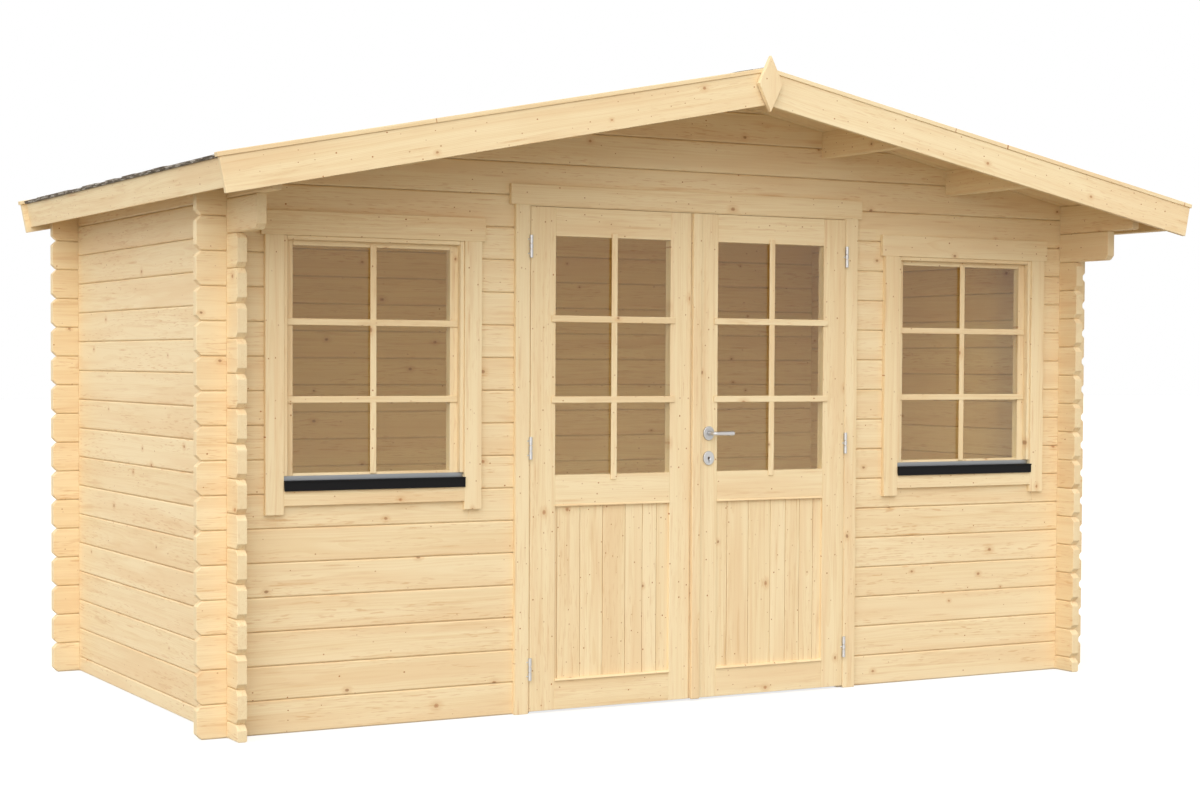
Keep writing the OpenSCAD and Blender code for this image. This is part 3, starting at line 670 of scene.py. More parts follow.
def backWall():
    pile = startPile(21)
    c = logWork["endChamfer"]
    for k in range(shed["courses"]):
        z0, z1 = k * shed["log"], (k + 1) * shed["log"]
        crossedLog(pile, backFaces, z0, z1, [leftColumn, rightColumn], -outTip, outTip,
                   tip0=endCuts("x", -outTip, -1, z0, z1, c), tip1=endCuts("x", outTip, 1, z0, z1, c))
    gableLogs(pile, backFaces)
    pieceFromPile(pile, "backWall", logWood, "shed", ["back_wall"])


def frontGable():
    pile = startPile(22)
    gableLogs(pile, frontFaces)
    pieceFromPile(pile, "frontGable", logWood, "shed", ["front_gable"])


def sideWall(side):
    # its courses lie half a log higher than those of the front and the back
    name = sideName(side)
    pile = startPile(31 if side < 0 else 32)
    faces = ("y",) + (leftColumn if side < 0 else rightColumn)
    h, c = shed["log"], logWork["endChamfer"]
    columns = [frontColumn, backColumn]
    edge = ((side * shed["inside"], 0, sideHigh.z), (side * sinP, 0, cosP))
    for k in range(shed["courses"] + 1):
        z0, z1 = max(0.0, (k - 0.5) * h), (k + 0.5) * h
        front, back = shed["front"] - shed["tip"], shed["back"] + shed["tip"]
        tip0 = endCuts("y", front, -1, z0, z1, c, bottom=k > 0)
        tip1 = endCuts("y", back, 1, z0, z1, c, bottom=k > 0)
        keep = (z0, z1 - logWork["lap"] * h) if k == 0 else None
        cuts = ()
        if k == shed["courses"] - 1:       # long corbel log
            front = shed["front"] - logWork["corbel"]
            tip0 = endCuts("y", front, -1, z0, z1, logWork["corbelCut"], top=False)
        if k == shed["courses"]:           # top log carries the roof
            front, back = shed["front"] - logWork["topOut"], shed["roofBack"]
            tip0, tip1, cuts = (), (), [edge]
        crossedLog(pile, faces, z0, z1, columns, front, back, tip0=tip0, tip1=tip1, keep=keep, cuts=cuts)
    pieceFromPile(pile, "sideWall_" + name, logWood, "shed", [name + "_wall"])


frontWall(-1)
frontWall(1)
frontGable()
backWall()
sideWall(-1)
sideWall(1)
print("shed: walls ready")

floorWork = {
    "board": 0.118, "joint": 0.002, "ease": 0.0015,
    "clear": 0.0003,                       # gap round the door frame
    "bearers": 7, "bearer": 0.060, "bearerEase": 0.002,
}


def floorPieces():
    w = floorWork
    low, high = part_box("floor_boards")
    pile = startPile(41)
    count = round((high.y - low.y) / w["board"])
    wide = (high.y - low.y) / count
    doorX0, doorX1, doorBack = doorLow.x - w["clear"], doorHigh.x + w["clear"], doorHigh.y + w["clear"]
    for i in range(count):
        y0, y1 = low.y + i * wide, low.y + (i + 1) * wide
        spans = [(low.x, high.x, y0)]
        if y0 < doorHigh.y:                # boards stop at the door frame
            spans = [(low.x, doorX0, y0), (doorX1, high.x, y0)]
            if y1 > doorBack:
                spans.insert(0, (doorX0, doorX1, doorBack))
        for a, b, y in spans:
            bm = block(a, b, y, y1 - w["joint"], low.z, high.z)
            addToPile(pile, ease(bm, w["ease"]), axes["x"], axes["z"])
    pieceFromPile(pile, "floorBoards", boardWood, "shed", ["floor_boards"])
    low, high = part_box("floor_bearers")
    pile = startPile(42)
    wide = w["bearer"]
    for i in range(w["bearers"]):
        x = low.x + i * (high.x - low.x - wide) / (w["bearers"] - 1)
        bm = block(x, x + wide, low.y, high.y, low.z, high.z)
        addToPile(pile, ease(bm, w["bearerEase"]), axes["y"], axes["x"])
    pieceFromPile(pile, "floorBearers", boardWood, "shed", ["floor_bearers"])


floorPieces()
print("shed: floor ready")

roofWork = {
    "sideOver": 0.175,                     # eave board's face past the wall, at the underside of the deck
    "deck": 0.018, "shingle": 0.014, "lath": 0.015,
    "barge": 0.114, "bargeThick": 0.018, "eave": 0.095,          # boards' heights and thickness
    "bargeEnd": 0.020, "lathEnd": 0.006,   # bargeboards run past the eave board, and laths past them
    "board": 0.090, "boardJoint": 0.0035, "boardEase": 0.0006,
    "pastRidge": 0.02,                     # boards are built this far past the ridge and cut there
    "trimEase": 0.0016, "eaveEase": 0.0015, "finialEase": 0.0018,
}
deckTop = roofWork["deck"]
shingleTop = deckTop + roofWork["shingle"]
lathTop = deckTop + roofWork["lath"]
eaveX = -(shed["half"] + roofWork["sideOver"])
eaveZ = underDeck(eaveX)
upSlope = Vector((cosP, 0, sinP))          # on the left-hand slope
outSlope = Vector((-sinP, 0, cosP))
ridgeRun = -eaveX / cosP


def onSlope(u, v, y, side):
    # u runs up from the eave, v away from the underside of the deck
    p = Vector((eaveX, 0, eaveZ)) + upSlope * u + outSlope * v
    return Vector((p.x * -side, y, p.z))


def slopeOutline(v0, v1, out, side):
    # a layer of one slope seen from the front, from the heights v0 to v1, standing out past the eave
    low = [onSlope(-out, v0, 0, side), onSlope(-out, v1, 0, side)]
    ridge = underDeck(0)
    return [(low[0].x, low[0].z), (low[1].x, low[1].z), (0.0, ridge + v1 / cosP), (0.0, ridge + v0 / cosP)]


def slopeWay(side):
    return Vector((-side * cosP, 0, sinP)), Vector((side * sinP, 0, cosP))


def slopeBoards(side):
    w = roofWork
    name = sideName(side)
    pile = startPile(51 if side < 0 else 52)
    y0, y1 = shed["roofFront"], shed["roofBack"]
    count = round((y1 - y0) / w["board"])
    wide = (y1 - y0) / count
    g, t = w["boardJoint"], w["deck"]
    along, face = slopeWay(side)
    for i in range(count):
        a, b = y0 + i * wide, y0 + (i + 1) * wide
        section = [(a + g, 0.0), (b - g, 0.0), (b, g), (b, t), (a, t), (a, g)]
        bm = bmesh.new()
        low = [bm.verts.new(onSlope(w["bargeThick"], v, y, side)) for y, v in section]
        high = [bm.verts.new(onSlope(ridgeRun + w["pastRidge"], v, y, side)) for y, v in section]
        loft(bm, low, high)
        trim(bm, (0, 0, 0), (-side, 0, 0))
        addToPile(pile, ease(bm, w["boardEase"]), along, face)
    pieceFromPile(pile, "roofBoards_" + name, boardWood, "shed", ["roof_deck_" + name])


shingleWork = {
    "tab": 0.333, "row": 0.145, "slot": 0.008, "thick": 0.0045, "ease": 0.0006,
    "dripEdge": 0.010,                     # how far the shingles hang out past the eave
    "lift": 0.0118,                        # a tab's free edge above the deck
    "lap": 1.35,                           # how many rows a tab covers
    "shift": 0.08,                         # the first tab of a row starts this far before the front
    "short": (0.09, 0.17), "shortSlot": 0.004, "shortLift": (0.0, 0.0015, 0.0030),
    "starter": 0.62, "starterShift": 0.23, "starterSlot": 0.002, "starterBack": (0.0005, 0.003),
    "unevenUp": 0.002, "unevenLift": 0.0008,
    "clear": 0.0001,                       # layers stay this far apart
    "least": 0.01,                         # shorter ends are left out
}


def shingleTab(pile, side, u0, u1, v0, v1, a, b, thick):
    # one tab from u0 at the height v0 up to u1 at the height v1, between a and b along the eave
    along, face = slopeWay(side)
    bm = bmesh.new()
    corners = [(u0, v0, a), (u0, v0, b), (u1, v1, b), (u1, v1, a)]
    top = [bm.verts.new(onSlope(u, v, y, side)) for u, v, y in corners]
    low = [bm.verts.new(onSlope(u, v - thick, y, side)) for u, v, y in corners]
    loft(bm, top, low)
    bmesh.ops.recalc_face_normals(bm, faces=bm.faces[:])
    addToPile(pile, ease(bm, shingleWork["ease"]), along, face)


def slopeShingles(side):
    w = shingleWork
    name = sideName(side)
    pile = startPile(53 if side < 0 else 54)
    rng = pile["rng"]
    low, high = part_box("shingles_" + name)
    y0, y1 = low.y, high.y
    row, thick = w["row"], w["thick"]
    start = -w["dripEdge"]
    # two starter layers under the first row, in lengths that butt
    for layer in (1, 2):
        y, top = y0 - w["starterShift"] * layer, deckTop + layer * thick
        while y < y1:
            a, b = max(y, y0), min(y + w["starter"], y1)
            y += w["starter"]
            if b - a > w["least"]:
                u0, b = start + rng.uniform(*w["starterBack"]), b - w["starterSlot"]
                shingleTab(pile, side, u0, start + row, top, top, a, b, thick - w["clear"])
    fall = deckTop + thick + w["clear"]
    for k in range(math.ceil((ridgeRun - start) / row)):
        u0 = start + k * row
        u1 = min(u0 + row * w["lap"], ridgeRun)
        y = y0 - (w["tab"] * 0.5 if k % 2 else 0.0) - w["shift"]
        while y < y1:
            # the first row is cut from short ends
            tab, slot = (w["tab"], w["slot"]) if k else (rng.uniform(*w["short"]), w["shortSlot"])
            a, b = max(y, y0), min(y + tab - slot, y1)
            y += tab
            if b - a < w["least"]:
                continue
            lift = deckTop + w["lift"] if k else shingleTop - 2 * w["clear"] - rng.choice(w["shortLift"])
            lift -= rng.uniform(0, w["unevenLift"])
            shingleTab(pile, side, u0 + rng.uniform(0.0, w["unevenUp"]), u1, lift, fall, a, b, thick)
    pieceFromPile(pile, "shingles_" + name, shingleSkin, "shed", ["shingles_" + name])


ridgeWork = {"caps": 9, "reach": 0.110, "thick": 0.0028, "lap": 1.12, "lift": 0.0011, "ease": 0.0005}


def ridgeShingles():
    w = ridgeWork
    low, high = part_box("ridge_cap")
    pile = startPile(55)
    step = (high.y - low.y) / w["caps"]
    thick = w["thick"]
    outX, downZ = w["reach"] * cosP, w["reach"] * sinP
    for i in range(w["caps"]):
        y0, y1 = low.y + i * step, min(low.y + (i + w["lap"]) * step, high.y)
        bm = bmesh.new()
        rings = []
        for y, lift in ((y0, w["lift"]), (y1, 0.0)):
            top = underDeck(0) + (shingleTop + thick + lift) / cosP
            bottom = top - thick / cosP
            foot = bottom - downZ
            edge = [(-outX, foot), (-outX - thick * sinP, foot + thick * cosP), (0, top),
                    (outX + thick * sinP, foot + thick * cosP), (outX, foot), (0, bottom)]
            rings.append([bm.verts.new((x, y, z)) for x, z in edge])
        loft(bm, *rings)
        bmesh.ops.recalc_face_normals(bm, faces=bm.faces[:])
        addToPile(pile, ease(bm, w["ease"]), axes["y"], axes["z"])
    pieceFromPile(pile, "ridgeCap", shingleSkin, "shed", ["ridge_cap"])


def gableTrim():
    w = roofWork
    for end in ("front", "rear"):
        for side in (-1, 1):
            name = sideName(side)
            node = end + "_bargeboard_" + name
            low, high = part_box(node)
            pile = startPile(60 + side + (5 if end == "rear" else 0))
            outline = slopeOutline(deckTop - w["barge"], deckTop, w["bargeEnd"], side)
            bm = prism(outline, "y", low.y, high.y)
            addToPile(pile, ease(bm, w["trimEase"], 2), slopeWay(side)[0], axes["y"])
            pieceFromPile(pile, end + "Bargeboard_" + name, planedWood, "shed", [node])
        node = end + "_cover_laths"
        low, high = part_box(node)
        pile = startPile(70 if end == "front" else 71)
        for side in (-1, 1):
            along, face = slopeWay(side)
            bm = prism(slopeOutline(deckTop, lathTop, w["bargeEnd"] + w["lathEnd"], side), "y", low.y, high.y)
            addToPile(pile, ease(bm, w["trimEase"], 2), along, face)
        pieceFromPile(pile, end + "CoverLaths", planedWood, "shed", [node])


def eaveBoards():
    t, foot = roofWork["bargeThick"], deckTop - roofWork["eave"]
    for side in (-1, 1):
        name = sideName(side)
        pile = startPile(73 + side)
        corners = [onSlope(u, v, 0, side) for u, v in ((0, deckTop), (t, deckTop), (t, foot), (0, foot))]
        bm = prism([(p.x, p.z) for p in corners], "y", shed["roofFront"], shed["roofBack"])
        addToPile(pile, ease(bm, roofWork["eaveEase"], 2), axes["y"], slopeWay(side)[0])
        pieceFromPile(pile, "eaveBoard_" + name, planedWood, "shed", ["eave_board_" + name])


purlinWork = {"near": 0.583, "step": 0.598, "wide": 0.044, "deep": 0.098, "aSide": 2, "ease": 0.0015}


def purlinBeams():
    w = purlinWork
    pile = startPile(76)
    for side in (-1, 1):
        for i in range(w["aSide"]):
            a = w["near"] + i * w["step"]
            b = a + w["wide"]
            bottom = underDeck(a) - w["deep"]
            outline = [(a, underDeck(a)), (b, underDeck(b)), (b, bottom), (a, bottom)]
            bm = prism([(side * x, z) for x, z in outline], "y", shed["roofFront"], shed["roofBack"])
            addToPile(pile, ease(bm, w["ease"], 2), axes["y"], axes["x"])
    pieceFromPile(pile, "purlinBeams", planedWood, "shed", ["purlins"])


def apexFinial():
    low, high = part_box("finial")
    pile = startPile(78)
    mid = (low.z + high.z) / 2
    bm = prism([(low.x, mid), (0, low.z), (high.x, mid), (0, high.z)], "y", low.y, high.y)
    addToPile(pile, ease(bm, roofWork["finialEase"], 2), axes["z"], axes["y"])
    pieceFromPile(pile, "apexFinial", planedWood, "shed", ["finial"])


for side in (-1, 1):
    slopeBoards(side)
    slopeShingles(side)
ridgeShingles()
gableTrim()
eaveBoards()
purlinBeams()
apexFinial()
print("shed: roof ready")

casingLow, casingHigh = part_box("door_casing")
stopLow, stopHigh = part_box("threshold")
leafLow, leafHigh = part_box("left_leaf_frame")
faceY = casingLow.y                        # casings and leaves are flush
doorWork = {
    "jamb": 0.028, "head": 0.034, "strip": 0.054, "ear": 0.020,
    "lip": 0.015, "step": 0.014,           # the leaf's front part laps past the rest
    "gap": 0.0055, "thresholdEase": 0.003,
}
stopY = faceY + doorWork["lip"] + doorWork["gap"]
sealWork = {"wide": 0.0038, "meeting": 0.0050, "back": 0.0020, "deep": 0.012, "ease": 0.0008}


def plank(pile, x0, x1, y0, y1, z0, z1, way, face=axes["y"], soft=0.0014, rounds=2):
    addToPile(pile, ease(block(x0, x1, y0, y1, z0, z1), soft, rounds), axes[way], face)


def doorSurround():
    w = doorWork
    pile = startPile(81)
    a, b = doorLow.x, doorHigh.x
    j, head = w["jamb"], doorHigh.z - w["head"]
    for x0, x1 in ((a, a + j), (b - j, b)):
        plank(pile, x0, x1, doorLow.y, doorHigh.y, 0, head, "z", axes["x"])
    plank(pile, a, b, doorLow.y, doorHigh.y, head, doorHigh.z, "x", axes["z"])
    s = stopLow.x - (a + j)                # stops that the leaves close against
    for x0, x1 in ((a + j, a + j + s), (b - j - s, b - j)):
        plank(pile, x0, x1, stopY, stopHigh.y, 0, head - s, "z")
    plank(pile, a + j, b - j, stopY, stopHigh.y, head - s, head, "x")
    pieceFromPile(pile, "doorFrame", planedWood, "shed", ["door_frame"])
    pile = startPile(82)
    soft = w["thresholdEase"]
    plank(pile, stopLow.x, stopHigh.x, stopLow.y, stopHigh.y, stopLow.z, stopHigh.z, "x", soft=soft)
    pieceFromPile(pile, "doorThreshold", planedWood, "shed", ["threshold"])
    pile = startPile(83)
    inner = casingLow.x + w["ear"] + w["strip"]
    for x0, x1 in ((inner - w["strip"], inner), (-inner, -inner + w["strip"])):
        plank(pile, x0, x1, casingLow.y, casingHigh.y, 0, head, "z")
    plank(pile, casingLow.x, casingHigh.x, casingLow.y, casingHigh.y, head, casingHigh.z, "x")
    pieceFromPile(pile, "doorCasing", planedWood, "shed", ["door_casing"])


def gapSeals():
    # pale beads set back in the gaps, so that only a fine line shows round the leaves
    w = sealWork
    soft = w["ease"]
    y0, y1 = faceY + w["back"], faceY + w["back"] + w["deep"]
    x, top = doorHigh.x - doorWork["jamb"], doorHigh.z - doorWork["head"]
    pile = startPile(84)
    for a, b in ((-x, -x + w["wide"]), (x - w["wide"], x)):
        plank(pile, a, b, y0, y1, leafLow.z, top, "z", soft=soft)
    plank(pile, -x + w["wide"], x - w["wide"], y0, y1, top - w["wide"], top, "x", soft=soft)
    pieceFromPile(pile, "frameSeals", planedWood, "shed")
    pile = startPile(85)
    edge = leafHigh.x
    plank(pile, edge, edge + w["meeting"], y0, y1, leafLow.z, leafHigh.z, "z", soft=soft)
    pieceFromPile(pile, "meetingSeal", planedWood, "left_leaf")


doorSurround()
gapSeals()

barWork = {
    "proud": 0.0065, "uprightProud": 0.92,      # uprights stand out a little less than the cross bars
    "rib": 0.36, "ease": 0.0024, "ribEase": 0.0008,
    "clear": 0.0003,                            # gap to the glass and the sash
}
windowWork = {
    "lining": 0.024, "casing": 0.066, "footDrop": 0.060, "footHigh": 0.054,
    "bead": 0.015, "beadEase": 0.003,
    "sashSide": 0.043, "sashHead": 0.032, "sashFoot": 0.048, "sashEase": 0.0024,
    "bar": 0.023, "lapAcross": 0.0275, "lapTop": 0.008, "lapFoot": 0.006,
    "rows": (0.334, 0.676),                     # middles of the cross bars, from the top of the glass
}


def crossBars(pile, opening, face, glassFront, look):
    # bars planted on the frame, each with a narrow rib to the glass, two panes wide and three high
    x0, x1, z0, z1 = opening
    w = barWork
    proud, half = w["proud"], look["bar"] / 2
    rib, back = half * w["rib"], glassFront - w["clear"]
    x = (x0 + x1) / 2
    foot, top = z0 - look["lapFoot"], z1 + look["lapTop"]
    plank(pile, x - half, x + half, face - proud * w["uprightProud"], face, foot, top, "z", soft=w["ease"])
    plank(pile, x - rib, x + rib, face, back, z0, z1, "z", soft=w["ribEase"])
    left, right = x0 - look["lapAcross"], x1 + look["lapAcross"]
    for share in look["rows"]:
        z = z1 - (z1 - z0) * share
        plank(pile, left, right, face - proud, face, z - half, z + half, "x", soft=w["ease"])
        plank(pile, x0, x1, face, back, z - rib, z + rib, "x", soft=w["ribEase"])


def windowPieces(side):
    w = windowWork
    name = sideName(side)
    frameLow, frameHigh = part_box(name + "_window_frame")
    trimLow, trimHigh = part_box(name + "_window_casing")
    sashLow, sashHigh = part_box(name + "_window_sash")
    glassFront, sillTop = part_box("window_glass")[0].y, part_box("window_sills")[1].z
    x0, x1 = frameLow.x + w["lining"], frameHigh.x - w["lining"]
    z0, z1 = frameLow.z + w["lining"], frameHigh.z - w["lining"]
    front, back = shed["front"], frameHigh.y
    pile = startPile(91 + side)
    for a, b in ((frameLow.x, x0), (x1, frameHigh.x)):
        plank(pile, a, b, front, back, frameLow.z, frameHigh.z, "z", axes["x"])
    for a, b in ((frameLow.z, z0), (z1, frameHigh.z)):
        plank(pile, x0, x1, front, back, a, b, "x", axes["z"])
    # bead in front of the sash, on three sides
    b, soft = w["bead"], w["beadEase"]
    front, back = frameLow.y, sashLow.y - barWork["clear"]
    for a in (x0, x1 - b):
        plank(pile, a, a + b, front, back, sillTop, z1, "z", soft=soft, rounds=3)
    plank(pile, x0 + b, x1 - b, front, back, z1 - b, z1, "x", soft=soft, rounds=3)
    pieceFromPile(pile, name + "WindowLining", planedWood, "shed", [name + "_window_frame"])
    pile = startPile(94 + side)
    c, foot = w["casing"], z0 - w["footDrop"]
    front, back = trimLow.y, trimHigh.y
    for a, b in ((x0 - c, x0), (x1, x1 + c)):
        plank(pile, a, b, front, back, trimLow.z, z1, "z")
    plank(pile, trimLow.x, trimHigh.x, front, back, z1, trimHigh.z, "x")
    plank(pile, x0, x1, front, back, foot, foot + w["footHigh"], "x")
    pieceFromPile(pile, name + "WindowCasing", planedWood, "shed", [name + "_window_casing"])
    pile = startPile(97 + side)
    gx0, gx1 = sashLow.x + w["sashSide"], sashHigh.x - w["sashSide"]
    gz0, gz1 = sashLow.z + w["sashFoot"], sashHigh.z - w["sashHead"]
    front, back, soft = sashLow.y, sashHigh.y, w["sashEase"]
    for a, b in ((sashLow.x, gx0), (gx1, sashHigh.x)):
        plank(pile, a, b, front, back, sashLow.z, sashHigh.z, "z", soft=soft)
    for a, b in ((sashLow.z, gz0), (gz1, sashHigh.z)):
        plank(pile, gx0, gx1, front, back, a, b, "x", soft=soft)
    crossBars(pile, (gx0, gx1, gz0, gz1), front, glassFront, w)
    pieceFromPile(pile, name + "WindowSash", planedWood, "shed", [name + "_window_sash"])


for side in (-1, 1):
    windowPieces(side)

leafWork = {
    "rebate": 0.0097,                      # glass and boards reach this far into the frame
    "ease": 0.0016,
    "drip": 0.008, "dripProud": 0.007,     # strips that shed rain above and below the boards
    "upperProud": 0.6, "dripNose": 0.45, "dripEase": 0.001,      # shares of the strip
    # widths side by side, scaled to fill the panel
    "boards": {"left": (22, 91, 91, 91, 70, 58, 58), "right": (59, 92, 96, 66, 63, 60, 45)},
    "boardSlot": 0.0009, "slotDeep": 0.007, "boardChamfer": 0.0010, "boardEase": 0.0003,
    "bar": 0.024, "lapAcross": 0.018, "lapTop": 0.016, "lapFoot": 0.021,
    "rows": (0.345, 0.684),
    "stripEase": 0.004,
}
roseWork = {
    "thick": 0.007, "high": 0.053, "points": 64, "neck": 0.0071,
    "keyHead": 0.0048, "keySlot": 0.0022, "keyFoot": 0.0145,
    "pocket": (0.011, 0.014, 0.006, 0.026),     # half width, reach below and above the key, depth
    # the rounded edge, as shares of the width and the thickness, and how high the edge of the hole is
    "rim": [(1.0, 0.0), (1.0, 0.62), (0.985, 0.80), (0.955, 0.93),
            (0.91, 0.99), (0.86, 1.0), (0.80, 0.955), (0.40, 0.94)],
    "holeEdge": 0.94,
    "offAxis": 0.0001,                          # the first point lies a hair off the axis
}
roseLow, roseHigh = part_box("door_roses")
keyX, keyZ = (roseLow.x + roseHigh.x) / 2, roseLow.z + roseWork["high"] / 2


def keyPocket(bm, x, z):
    # a mortise for the lock behind the lower rose
    half, below, above, deep = roseWork["pocket"]
    for point, normal in (((x - half, 0, 0), axes["x"]), ((x + half, 0, 0), axes["x"]),
                          ((0, 0, z - below), axes["z"]), ((0, 0, z + above), axes["z"])):
        bmesh.ops.bisect_plane(bm, geom=bm.verts[:] + bm.edges[:] + bm.faces[:], dist=hair,
                               plane_co=point, plane_no=normal)
    front = []
    for f in bm.faces:
        middle = f.calc_center_median()
        facesFront = f.normal.y < -0.9
        if facesFront and abs(middle.x - x) < half and z - below < middle.z < z + above:
            front.append(f)
    for f in bmesh.ops.extrude_discrete_faces(bm, faces=front)["faces"]:
        bmesh.ops.translate(bm, vec=(0, deep, 0), verts=f.verts[:])


def lippedStile(edge, inner, y0, yLip, y1, z0, z1, step):
    # hinge stile whose front part laps past the rest at its outer edge and at the top
    e = edge + math.copysign(step, inner - edge)
    t = z1 - step
    corners = {}
    bm = bmesh.new()

    def facet(*points):
        for p in points:
            if p not in corners:
                corners[p] = bm.verts.new(p)
        bm.faces.new([corners[p] for p in points])

    facet((edge, y0, z0), (inner, y0, z0), (inner, y0, z1), (edge, y0, z1))
    facet((e, y1, z0), (inner, y1, z0), (inner, y1, t), (e, y1, t))
    facet((edge, y0, z0), (edge, yLip, z0), (edge, yLip, z1), (edge, y0, z1))
    facet((edge, y0, z1), (edge, yLip, z1), (inner, yLip, z1), (inner, y0, z1))
    facet((edge, yLip, z0), (e, yLip, z0), (e, yLip, t),
          (inner, yLip, t), (inner, yLip, z1), (edge, yLip, z1))
    facet((e, yLip, z0), (e, y1, z0), (e, y1, t), (e, yLip, t))
    facet((e, yLip, t), (e, y1, t), (inner, y1, t), (inner, yLip, t))
    facet((inner, y0, z0), (inner, y1, z0), (inner, y1, t),
          (inner, yLip, t), (inner, yLip, z1), (inner, y0, z1))
    facet((edge, y0, z0), (inner, y0, z0), (inner, y1, z0), (e, y1, z0), (e, yLip, z0), (edge, yLip, z0))
    bmesh.ops.recalc_face_normals(bm, faces=bm.faces[:])
    return bm


def leafFrame(side):
    w = leafWork
    name = sideName(side)
    body = name + "_leaf"
    low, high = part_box(body + "_frame")
    glassLow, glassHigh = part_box(body + "_glass")
    boardLow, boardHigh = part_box(body + "_panel")
    y0, y1, reb, soft = faceY, high.y, w["rebate"], w["ease"]
    x0, x1 = boardLow.x + reb, boardHigh.x - reb
    glassFoot, glassTop = glassLow.z + reb, glassHigh.z - reb
    panelFoot, panelTop = boardLow.z + reb, boardHigh.z - reb
    pile = startPile(111 + side)
    hinged, free = ((low.x, x0), (x1, high.x)) if side < 0 else ((high.x, x1), (low.x, x0))
    yLip, step = y0 + doorWork["lip"], doorWork["step"]
    top = [(y1, high.z - step), (yLip, high.z - step), (yLip, high.z), (y0, high.z)]
    freeStile = prism([(y0, low.z), (y1, low.z)] + top, "x", *free)
    if side > 0:
        keyPocket(freeStile, keyX, keyZ)
    for bm in (lippedStile(*hinged, y0, yLip, y1, low.z, high.z, step), freeStile):
        addToPile(pile, ease(bm, soft, 2), axes["z"], axes["y"])
    topRail = prism([(y0, glassTop), (y1, glassTop)] + top, "x", x0, x1)
    addToPile(pile, ease(topRail, soft, 2), axes["x"], axes["y"])
    for a, b in ((panelTop, glassFoot), (low.z, panelFoot)):
        plank(pile, x0, x1, y0, y1, a, b, "x", soft=soft)
    crossBars(pile, (x0, x1, glassFoot, glassTop), y0, glassLow.y, w)
    drip = w["drip"]
    for foot, out in ((panelTop, w["dripProud"] * w["upperProud"]), (panelFoot - drip, w["dripProud"])):
        shape = [(y0, foot), (y0 - out, foot), (y0 - out, foot + drip * w["dripNose"]), (y0, foot + drip)]
        addToPile(pile, ease(prism(shape, "x", x0, x1), w["dripEase"], 2), axes["x"], axes["y"])
    pieceFromPile(pile, name + "LeafFrame", planedWood, body, [body + "_frame"])


def leafBoards(side):
    w = leafWork
    name = sideName(side)
    body = name + "_leaf"
    low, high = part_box(body + "_panel")
    pile = startPile(114 + side)
    s, g, widths = w["boardSlot"], w["boardChamfer"], w["boards"][name]
    y0, y1, slotY = low.y, high.y, low.y + w["slotDeep"]
    scale = (high.x - low.x) / sum(widths)
    b = low.x
    for wide in widths:
        a, b = b, b + wide * scale
        section = [(a + s + g, y0), (b - s - g, y0), (b - s, y0 + g), (b - s, slotY), (b, slotY),
                   (b, y1), (a, y1), (a, slotY), (a + s, slotY), (a + s, y0 + g)]
        bm = prism(section, "z", low.z, high.z)
        addToPile(pile, ease(bm, w["boardEase"]), axes["z"], axes["y"])
    pieceFromPile(pile, name + "LeafBoards", planedWood, body, [body + "_panel"])


def meetingStrip():
    low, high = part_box("meeting_strip")
    pile = startPile(117)
    bm = block(low.x, high.x, low.y, high.y, low.z, high.z)
    addToPile(pile, ease(bm, leafWork["stripEase"], 3), axes["z"], axes["y"])
    pieceFromPile(pile, "meetingStrip", planedWood, "right_leaf", ["meeting_strip"])


for side in (-1, 1):
    leafFrame(side)
    leafBoards(side)
meetingStrip()


def neckReach(angle):
    return roseWork["neck"]


def keyholeReach(angle):
    # distance from the keyhole's round head to its outline
    w = roseWork
    down = -math.sin(angle)
    across = abs(math.cos(angle))
    if down > 0:
        slot = min(w["keySlot"] / max(across, hair), w["keyFoot"] / down)
        return max(w["keyHead"], slot)
    return w["keyHead"]


def doorRose(bm, x, z, yWood, out, inner):
    # rings from the rim on the wood over the rounded edge to the hole, and back to the wood
    w = roseWork
    half, high, t, n = (roseHigh.x - roseLow.x) / 2, w["high"] / 2, w["thick"], w["points"]
    turns = [math.tau * i / n + w["offAxis"] for i in range(n)]

    def ring(reach, h):
        # reach gives the half width and the half height at an angle
        points = []
        for a in turns:
            wide, tall = reach(a)
            points.append(bm.verts.new((x + wide * math.cos(a), yWood + out * t * h, z + tall * math.sin(a))))
        return points

    rings = [ring(lambda a: (half * k, high * k), h) for k, h in w["rim"]]
    rings += [ring(lambda a: (inner(a), inner(a)), h) for h in (w["holeEdge"], 0.0)]
    for k in range(len(rings)):
        a, b = rings[k], rings[(k + 1) % len(rings)]
        for i in range(n):
            j = (i + 1) % n
            bm.faces.new((a[i], a[j], b[j], b[i]))


def doorRoses():
    bm = bmesh.new()
    neckZ = roseHigh.z - roseWork["high"] / 2
    for yWood, out in ((roseLow.y + roseWork["thick"], -1), (roseHigh.y - roseWork["thick"], 1)):
        doorRose(bm, keyX, neckZ, yWood, out, neckReach)
        doorRose(bm, keyX, keyZ, yWood, out, keyholeReach)
    bmesh.ops.recalc_face_normals(bm, faces=bm.faces[:])
    mesh = bpy.data.meshes.new("doorRoses")
    bm.to_mesh(mesh)
    bm.free()
    mesh.shade_smooth()
    mesh.materials.append(satinSteel)
    piece = bpy.data.objects.new("doorRoses", mesh)
    bpy.context.scene.collection.objects.link(piece)
    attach(piece, "right_leaf")
    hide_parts("door_roses")


doorRoses()
print("shed: door and windows ready")


fittingWork = {"hingeEase": 0.0005, "sillEase": 0.0005, "dripEase": 0.0008, "rounds": 2, "sharp": 40}


def dress(node, material, soft=0.0):
    # a cad piece that keeps its shape gets its finish and soft edges
    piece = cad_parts[node]
    piece.data.materials.clear()
    piece.data.materials.append(material)
    if soft:
        mod = piece.modifiers.new("softEdge", "BEVEL")
        mod.width = soft
        mod.segments = fittingWork["rounds"]
        mod.limit_method = "ANGLE"
        mod.angle_limit = math.radians(fittingWork["sharp"])


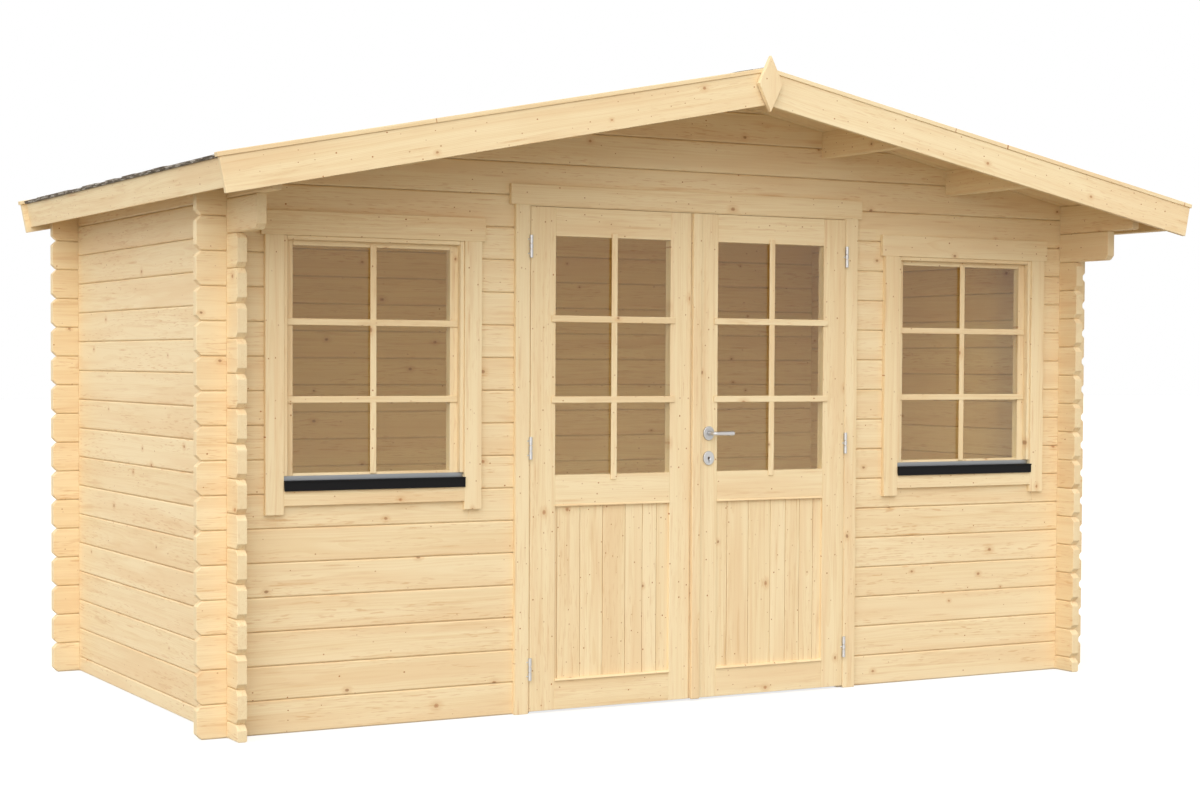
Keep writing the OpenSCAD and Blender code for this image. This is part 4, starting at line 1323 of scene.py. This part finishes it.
for node in ("frame_hinges", "left_leaf_hinges", "right_leaf_hinges"):
    dress(node, satinSteel, fittingWork["hingeEase"])
dress("lever_handle", satinSteel)
dress("window_sills", millAluminium, fittingWork["sillEase"])
dress("window_drips", dripSkin, fittingWork["dripEase"])
for node in ("window_glass", "left_leaf_glass", "right_leaf_glass"):
    dress(node, windowGlass)
print("shed: fittings ready")

studio = {
    "lens": 64.68, "sensor": 36.0, "turn": 29.12, "dip": 1.84, "lean": 0.29, "shift": 0.0251, "far": 200,
    "camera": (-2.402, -6.862, 1.258),      # from the front left corner of the walls, on the ground
    "world": 0.80, "worldColour": (1.0, 0.970, 0.88),
    "key": 2.3, "keyTurn": 41, "keyRise": 36, "keySpread": 80, "keyColour": (1.0, 1.0, 1.0),
    "floor": (0.33, 0.305, 0.265), "floorLift": 0.78, "floorSize": 60, "floorDrop": 0.001,
    # a faint lamp behind the front wall shows the room through the glass
    "room": 4.0, "roomColour": (1.0, 0.74, 0.20),
    "roomHigh": 1.2, "roomLess": 0.3, "roomBehind": 0.35, "roomUp": 1.1,
}


def rotation(degrees, axis):
    return Matrix.Rotation(math.radians(degrees), 3, axis)


def placeCamera(scene):
    camera = bpy.data.cameras.new("camera")
    camera.lens = studio["lens"]
    camera.sensor_width = studio["sensor"]
    camera.shift_y = studio["shift"]
    camera.clip_end = studio["far"]
    rig = bpy.data.objects.new("camera", camera)
    scene.collection.objects.link(rig)
    dx, dy, dz = studio["camera"]
    rig.location = (sideLow.x + dx, shed["front"] + dy, dz)
    aim = rotation(-studio["turn"], "Z") @ rotation(90 - studio["dip"], "X") @ rotation(studio["lean"], "Z")
    rig.rotation_euler = aim.to_euler()
    scene.camera = rig


def lightWorld(scene):
    world = bpy.data.worlds.new("studio")
    scene.world = world
    world.use_nodes = True
    tree = world.node_tree
    back = tree.nodes["Background"]
    seen = seenDirectly(tree)
    tree.links.new(blendColour(tree, seen, studio["worldColour"], (1.0, 1.0, 1.0)), back.inputs["Color"])
    tree.links.new(remap(tree, seen, 0.0, 1.0, studio["world"], 1.0, False), back.inputs["Strength"])


def layFloor(scene):
    mesh = bpy.data.meshes.new("studioFloor")
    s, z = studio["floorSize"], -studio["floorDrop"]
    mesh.from_pydata([(-s, -s, z), (s, -s, z), (s, s, z), (-s, s, z)], [], [(0, 1, 2, 3)])
    floor = bpy.data.objects.new("studioFloor", mesh)
    scene.collection.objects.link(floor)
    mat, tree, shader = newFinish("paleFloor")
    shader.inputs["Base Color"].default_value = (*studio["floor"], 1)
    shader.inputs["Roughness"].default_value = 0.9
    shader.inputs["Specular IOR Level"].default_value = 0.1
    shader.inputs["Emission Color"].default_value = (1, 1, 1, 1)
    tree.links.new(times(tree, seenDirectly(tree), studio["floorLift"]), shader.inputs["Emission Strength"])
    mesh.materials.append(mat)


def hangLamps(scene):
    lamp = bpy.data.lights.new("keyLight", "SUN")
    lamp.energy = studio["key"]
    lamp.angle = math.radians(studio["keySpread"])
    lamp.color = studio["keyColour"]
    key = bpy.data.objects.new("keyLight", lamp)
    scene.collection.objects.link(key)
    turn, rise = math.radians(studio["keyTurn"]), math.radians(studio["keyRise"])
    toward = Vector((math.sin(turn) * math.cos(rise), math.cos(turn) * math.cos(rise), -math.sin(rise)))
    key.rotation_euler = toward.to_track_quat("-Z", "Y").to_euler()
    lamp = bpy.data.lights.new("roomLight", "AREA")
    lamp.energy = studio["room"]
    lamp.color = studio["roomColour"]
    lamp.shape = "RECTANGLE"
    lamp.size = 2 * shed["inside"] - studio["roomLess"]
    lamp.size_y = studio["roomHigh"]
    room = bpy.data.objects.new("roomLight", lamp)
    scene.collection.objects.link(room)
    room.location = (0, shed["front"] + studio["roomBehind"], studio["roomUp"])
    room.rotation_euler = (math.radians(90), 0, 0)      # faces the back wall
    room.visible_camera = False
    room.visible_transmission = False
    room.visible_glossy = False


scene = bpy.context.scene
scene.view_settings.view_transform = "Standard"
placeCamera(scene)
lightWorld(scene)
layFloor(scene)
hangLamps(scene)
print("shed: studio ready")
